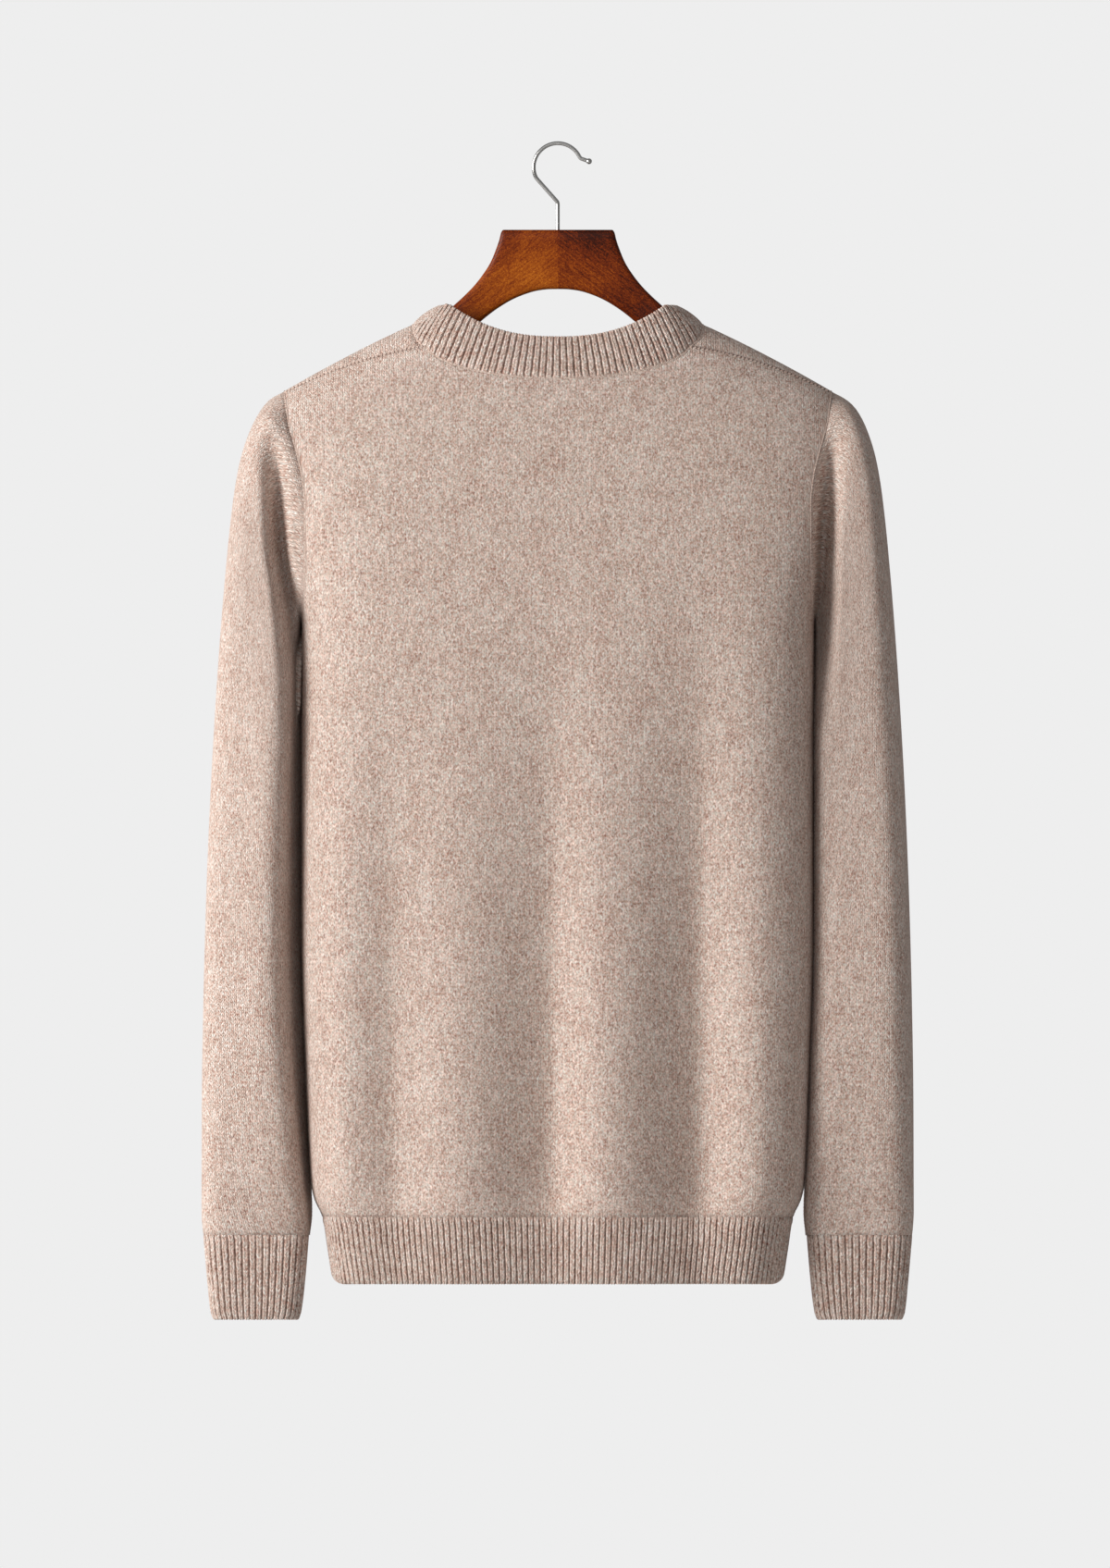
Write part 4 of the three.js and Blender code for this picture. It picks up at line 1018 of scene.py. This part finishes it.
def arm(side):
    """The rings of a sleeve from the armhole to the wrist, on the body's right, and the same
    rings without the fold to the armpit."""
    armhole_ring = (TIP_X, TIP_DOWN, float(torso_half(ARMPIT_DOWN)), ARMPIT_DOWN, 0,
                    ARMHOLE_DEEP, 0)
    table = np.array([armhole_ring, *SLEEVE], float)
    index = np.arange(len(table))
    curves = [through(index, table[:, k]) for k in range(7)]
    fine = np.linspace(0, len(SLEEVE), 3000)
    path = np.stack([c(fine) for c in curves[:4]], -1)
    step = np.linalg.norm(np.diff(path, axis=0), axis=1)
    along = np.concatenate([[0], np.cumsum(step)])
    at = np.interp(np.linspace(0, along[-1], SLEEVE_ROWS), along, fine)
    rings = np.stack([c(at) for c in curves])
    rings[6] *= TURN[side]
    share = np.arange(AROUND_SLEEVE) / AROUND_SLEEVE
    seam = armhole_seam()
    start = resample(np.concatenate([seam, seam[:1]]), share)
    points = even_points(rings, share)
    own = start - points[0]
    smooth_points = points + own * (ARMHOLE_MEMORY ** at)[:, None, None]
    points = smooth_points.copy()
    points[..., 1] += groove(side, points[..., 0], -points[..., 2], share < 0.5)
    return points, smooth_points


def sleeve(name, points, smooth_points):
    normals = tube_normals(points)
    outer = sunk(points, normals, TOP, BOTTOM)
    inner = points - normals * JERSEY
    wrap = np.concatenate([smooth_points, smooth_points[:, :1]], 1)
    around = lengths(wrap, axis=1)
    around = around - around[:, AROUND_SLEEVE // 2 : AROUND_SLEEVE // 2 + 1]
    up = lengths(wrap[::-1])[::-1]
    uv = np.stack([around / WALE, up / COURSE], -1)
    return cloth(name, outer, inner, uv, True, (SEAM_LIP, SEAM_LIP), jersey_knit)


CUFF_BODY_DOWN, CUFF_BODY_ROWS = 835, 24
CUFF_ENDS = [837, 839, 840.3]  # rows near the cuff's edge
CUFF_RIB_ENDS = 836


def cuff(name):
    table = np.array([SLEEVE[-1], *CUFF], float)
    downs = table[:, 1]
    curves = [through(downs, table[:, k]) for k in range(7)]
    body = np.linspace(downs[0], CUFF_BODY_DOWN, CUFF_BODY_ROWS)
    at = np.concatenate([body, CUFF_ENDS, downs[-1:]])
    rings = np.stack([c(at) for c in curves])
    place = ribbed(CUFF_RIBS, True)
    points = even_points(rings, place / CUFF_RIBS)
    normals = tube_normals(points)
    shown = smooth((at - downs[0]) / CUFF_RIB_GROWS)[:, None]
    end = np.where(at > CUFF_RIB_ENDS, RIB_END, 1)[:, None]
    relief = (rib_relief(place) - RIB_CREST) * shown * end
    outer = sunk(points + normals * relief[..., None], normals, TOP)
    inner = rib_inside(points, normals, place, shown)
    uv = rib_map(np.append(place, CUFF_RIBS), downs[-1] - at[:, None])
    return cloth(name, outer, inner, uv, True, (SEAM_LIP, FREE_LIP), rib_knit)


def mirror(piece):
    """Moves a piece to the other side of the body."""
    mesh = piece.data
    points = np.zeros(len(mesh.vertices) * 3, np.float32)
    mesh.vertices.foreach_get("co", points)
    points[0::3] *= -1
    mesh.vertices.foreach_set("co", points)
    mesh.flip_normals()
    return piece


def mirrored(piece, name):
    """A copy of a piece on the other side of the body."""
    mesh = piece.data.copy()
    mesh.name = name
    return mirror(add_object(name, mesh))


arms = {side: arm(side) for side in TURN}
pieces["sleeve_right"] = sleeve("sleeve_right_cloth", *arms["right"])
pieces["cuff_right"] = cuff("cuff_right_cloth")
pieces["sleeve_left"] = mirror(sleeve("sleeve_left_cloth", *arms["left"]))
pieces["cuff_left"] = mirrored(pieces["cuff_right"], "cuff_left_cloth")

# ---- Bars and wires ----

SHARP_EDGE = 50
HANGER_RINGS, AROUND_HANGER = 121, 64
HOOK_LOOP_POINTS, HOOK_STEPS = 120, 900
HOOK_BENDS = 33  # steps of the wire over which its corners are rounded
HOOK_STRAIGHT = 20  # steps at each end that stay as they are
HOOK_RINGS, BALL_RINGS, AROUND_WIRE = 260, 15, 28


def tube_faces(height, width):
    """The sides and the two ends of a solid of `height` closed rings of `width` points."""
    r, c = np.meshgrid(np.arange(height - 1), np.arange(width), indexing="ij")
    r, c = r.ravel(), c.ravel()
    c2 = (c + 1) % width
    quads = np.stack([r * width + c, r * width + c2, (r + 1) * width + c2,
                      (r + 1) * width + c], -1)
    ends = np.stack([np.arange(width)[::-1], (height - 1) * width + np.arange(width)])
    return [quads, ends]


def bar(name, rings, turn, material):
    """A solid through closed rings of points, with flat ends. `turn` is -1 where the rings run
    the other way round."""
    faces = [f[:, ::turn] for f in tube_faces(*rings.shape[:2])]
    uvs = [np.zeros((f.size, 2)) for f in faces]
    piece = add_mesh(name, rings.reshape(-1, 3), faces, uvs, material)
    piece.data.set_sharp_from_angle(angle=np.radians(SHARP_EDGE))
    return piece


def circles(middle, radius, side, other, count):
    """Rings of points round a line, in the plane of two directions."""
    angle = (2 * np.pi * np.arange(count) / count)[None, :, None]
    return middle[:, None] + radius * (side * np.cos(angle) + other * np.sin(angle))


def hanger_arm(name):
    """The right half of the hanger, whose shoulder lies just under the cloth."""
    rows = [*HANGER]
    for top_x, height, deep, exponent in HANGER_SHOULDER:
        fall = SHOULDER_FALL + 2 * SHOULDER_DROOP * (top_x - NECK_X)
        top = float(ridge_down(top_x)) + (JERSEY + HANGER_CLEARANCE) * np.hypot(1, fall)
        rows.append((top_x, top, top_x - HANGER_SLANT, top + height, deep, exponent))
    table = np.array(rows, float)
    index = np.arange(len(table))
    at = np.linspace(0, len(table) - 1, HANGER_RINGS)
    curves = [through(index, table[:, k]) for k in range(6)]
    top_x, top, low_x, low, deep, exponent = [c(at) for c in curves]
    zero = np.zeros_like(at)
    ring = (top_x, top, low_x, low, zero, deep, zero)
    angle = 2 * np.pi * (np.arange(AROUND_HANGER) + 0.5) / AROUND_HANGER
    rings = np.stack([ring_points([v[i : i + 1] for v in ring], angle, exponent[i])[0]
                      for i in range(HANGER_RINGS)])
    return bar(name, rings, -1, wood)


def hook(name):
    """The wire: a straight shank, a slanting stretch, the loop and its ball end."""
    centre = HOOK_WIRE / 2 - HOOK_LOOP
    turn = np.radians(np.linspace(HOOK_LEAVES, HOOK_ENDS, HOOK_LOOP_POINTS))
    loop = np.stack([HOOK_LOOP * np.cos(turn), 0 * turn, centre + HOOK_LOOP * np.sin(turn)], -1)
    corners = np.concatenate([
        [[0, 0, -HOOK_FOOT_DOWN], [0, 0, -HOOK_BEND_DOWN]], loop,
        [[HOOK_TIP[0], 0, -HOOK_TIP[1]]],
    ])
    path = resample(corners, np.linspace(0, 1, HOOK_STEPS))
    kernel = np.hanning(HOOK_BENDS)
    kernel /= kernel.sum()
    middle = np.stack([np.convolve(path[:, k], kernel, "same") for k in range(3)], -1)
    bent = np.s_[HOOK_STRAIGHT:-HOOK_STRAIGHT]
    path[bent] = middle[bent]
    path = resample(path, np.linspace(0, 1, HOOK_RINGS))
    tip = path[-1]
    ahead = unit(path[-1] - path[-2])
    ball = HOOK_BALL / 2
    steps = np.linspace(-ball, ball, BALL_RINGS)
    before = np.linalg.norm(path - tip, axis=1) > ball
    path = np.concatenate([path[before], tip + ahead * steps[:, None]])
    away = np.linalg.norm(path - tip, axis=1)
    round_end = np.sqrt(np.maximum(ball**2 - away**2, 0.0004))
    past = (path - tip) @ ahead > 0
    radius = np.where(past, round_end, np.maximum(round_end, HOOK_WIRE / 2))
    along = unit(np.gradient(path, axis=0))
    side = np.array([0.0, 1.0, 0.0])
    other = np.cross(along, side)
    rings = circles(path, radius[:, None, None], side, other[:, None], AROUND_WIRE)
    return bar(name, rings, 1, steel)


pieces["hanger_arm_right"] = hanger_arm("hanger_arm_right_wood")
pieces["hanger_arm_left"] = mirrored(pieces["hanger_arm_right"], "hanger_arm_left_wood")
pieces["hook"] = hook("hook_wire")

# ---- Seams ----

AROUND_YARN = 6
YARN_STEP = 0.7
STRAND_AWAY = 0.8  # a strand's middle from the seam's, in strand radii
STRAND_HIGH, STRAND_WIDE = 0.7, 1.2


def seam(name, points, normals, radius, pitch, lift=0.0, spread=1.0, marks=0.0):
    """Two strands of yarn twisted along a line on the cloth. `lift` is their height over it,
    `spread` how far apart they are, `marks` how strongly the gaps between the stitches are
    darkened with painted shade."""
    along = lengths(points)
    count = int(along[-1] / YARN_STEP)
    at = np.linspace(0, along[-1], count)
    path = follow(at, along, points)
    normal = unit(follow(at, along, normals))
    ahead = unit(np.gradient(path, axis=0))
    across = unit(np.cross(ahead, normal))
    normal = np.cross(across, ahead)
    path = path + normal * lift
    meshes, faces, offset = [], [], 0
    for strand in (0, np.pi):
        twist = 2 * np.pi * at / pitch + strand
        high = normal * np.sin(twist)[:, None] * STRAND_HIGH
        wide = across * np.cos(twist)[:, None] * STRAND_WIDE * spread
        middle = path + radius * STRAND_AWAY * (high + wide)
        rings = circles(middle, radius, normal[:, None], across[:, None], AROUND_YARN)
        faces += [f + offset for f in tube_faces(count, AROUND_YARN)]
        meshes.append(rings.reshape(-1, 3))
        offset += count * AROUND_YARN
    row = [(f.ravel() // AROUND_YARN) % count for f in faces]
    uvs = [np.stack([at[r] / pitch * 2, np.full(len(r), marks)], -1) for r in row]
    return add_mesh(name, np.concatenate(meshes), faces, uvs, seam_thread)


def seam_pair(name, *settings):
    """The same seam on the right and the left."""
    right, left = name + "_right", name + "_left"
    pieces[right] = seam(right, *settings)
    pieces[left] = mirrored(pieces[right], left)


back = panels[-1]
over, below = back["x"][0] >= SEAM_NECK_X - 1e-6, back["pit"]
seam_pair("shoulder_seam", back["point"][0][over], back["normal"][0][over],
          0.55, 6.0, 0.1, 1.5, 0.85)
pieces["neck_seam"] = seam("neck_seam", *neck_seam(), 0.4, 5.0, -0.15)
seam_pair("armhole_seam", armhole_seam(), armhole_seam("normal"), 0.35, 5.0, -0.1)
seam_pair("side_seam", back["point"][below:, -1], back["normal"][below:, -1], 0.3, 5.0)
for side, (arm_points, _) in arms.items():
    # The seam follows each ring's point that is nearest to the body
    nearest = arm_points[..., 0].argmin(1)
    underarm = arm_points[np.arange(len(nearest)), nearest]
    inward = np.tile([-1.0, 0.0, 0.0], (len(underarm), 1))
    name = "underarm_seam_" + side
    pieces[name] = seam(name, underarm, inward, 0.5, 5.0, 0.1)
mirror(pieces["underarm_seam_left"])

# ---- Frame: what each piece rides on and stands for ----

# The record's material slot of each CAD node that a piece stands for
SLOTS = {
    "back_panel": "jersey_knit", "front_panel": "jersey_knit",
    "hem_rib_back": "rib_knit", "hem_rib_front": "rib_knit", "neckband": "rib_knit",
    "sleeve_right": "jersey_knit", "sleeve_left": "jersey_knit",
    "cuff_right": "rib_knit", "cuff_left": "rib_knit",
    "hanger_arm_right": "varnished_wood", "hanger_arm_left": "varnished_wood",
    "hook": "hook_steel",
}
for key, piece in pieces.items():
    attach(piece, "root")
    if key in SLOTS:
        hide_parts(key)

# ---- Stage: floor, lights, background, camera ----

BACKGROUND = 0.855  # what the camera sees behind the garment
AMBIENT = 0.27  # what lights it from all round
FLOOR_RADIUS, FLOOR_DOWN = 5.0, 1.45
LIGHT_AIM = (0, 0, -0.45)
LIGHT_AWAY = 4.0


def grey(value):
    return (value, value, value, 1)


def stage_floor():
    """A pale round floor that fades out toward its edge."""
    g = Nodes("pale_floor")
    away = g.add("VectorMath", {0: g.position()}, operation="LENGTH").outputs["Value"]
    fade = g.add("MapRange", {"Value": away, "From Min": 1.0, "From Max": FLOOR_RADIUS})
    paint = g.add("BsdfDiffuse", {"Color": grey(0.8)})
    clear = g.add("BsdfTransparent")
    mix = g.add("MixShader", {0: fade.outputs[0], 1: paint.outputs[0], 2: clear.outputs[0]})
    bpy.ops.mesh.primitive_circle_add(vertices=96, radius=FLOOR_RADIUS, fill_type="NGON",
                                      location=(0, 0, -FLOOR_DOWN))
    floor = bpy.context.object
    floor.name = "floor"
    floor.data.materials.append(g.finish(mix))


def area_light(name, azimuth, elevation, size, watts, colour):
    """A round soft light LIGHT_AWAY from the garment, `azimuth` degrees to the camera's left."""
    light = bpy.data.lights.new(name, "AREA")
    light.shape, light.size, light.energy, light.color = "DISK", size, watts, colour
    lamp = add_object(name, light)
    turn, rise = np.radians(azimuth), np.radians(elevation)
    toward = Vector((-np.sin(turn) * np.cos(rise), -np.cos(turn) * np.cos(rise), np.sin(rise)))
    lamp.location = Vector(LIGHT_AIM) + toward * LIGHT_AWAY
    lamp.rotation_mode = "QUATERNION"
    lamp.rotation_quaternion = (-toward).to_track_quat("-Z", "Y")
    lamp.visible_camera = False


stage_floor()
area_light("key", 56, 16, 2.2, 179, (1.0, 0.985, 0.965))
area_light("side", 98, 10, 1.5, 45, (1.0, 0.985, 0.97))
area_light("front", 5, 25, 2.0, 12, (1.0, 1.0, 1.0))

g = Nodes("studio", bpy.data.worlds)
seen = g.add("Background", {"Color": grey(BACKGROUND)})
lit = g.add("Background", {"Color": grey(AMBIENT)})
straight = g.add("LightPath").outputs["Is Camera Ray"]
choose = g.add("MixShader", {0: straight, 1: lit.outputs[0], 2: seen.outputs[0]})
bpy.context.scene.world = g.finish(choose, "OutputWorld")

bpy.context.scene.view_settings.view_transform = "Standard"
camera_data = bpy.data.cameras.new("camera")
camera_data.lens = 960.75  # long and far away: the photo has almost no perspective
camera_data.sensor_width = 36
camera_data.clip_end = 200
camera = add_object("camera", camera_data)
camera.location = (-0.002, -30, -0.458)
camera.rotation_euler = (np.pi / 2, 0, 0)
bpy.context.scene.camera = camera
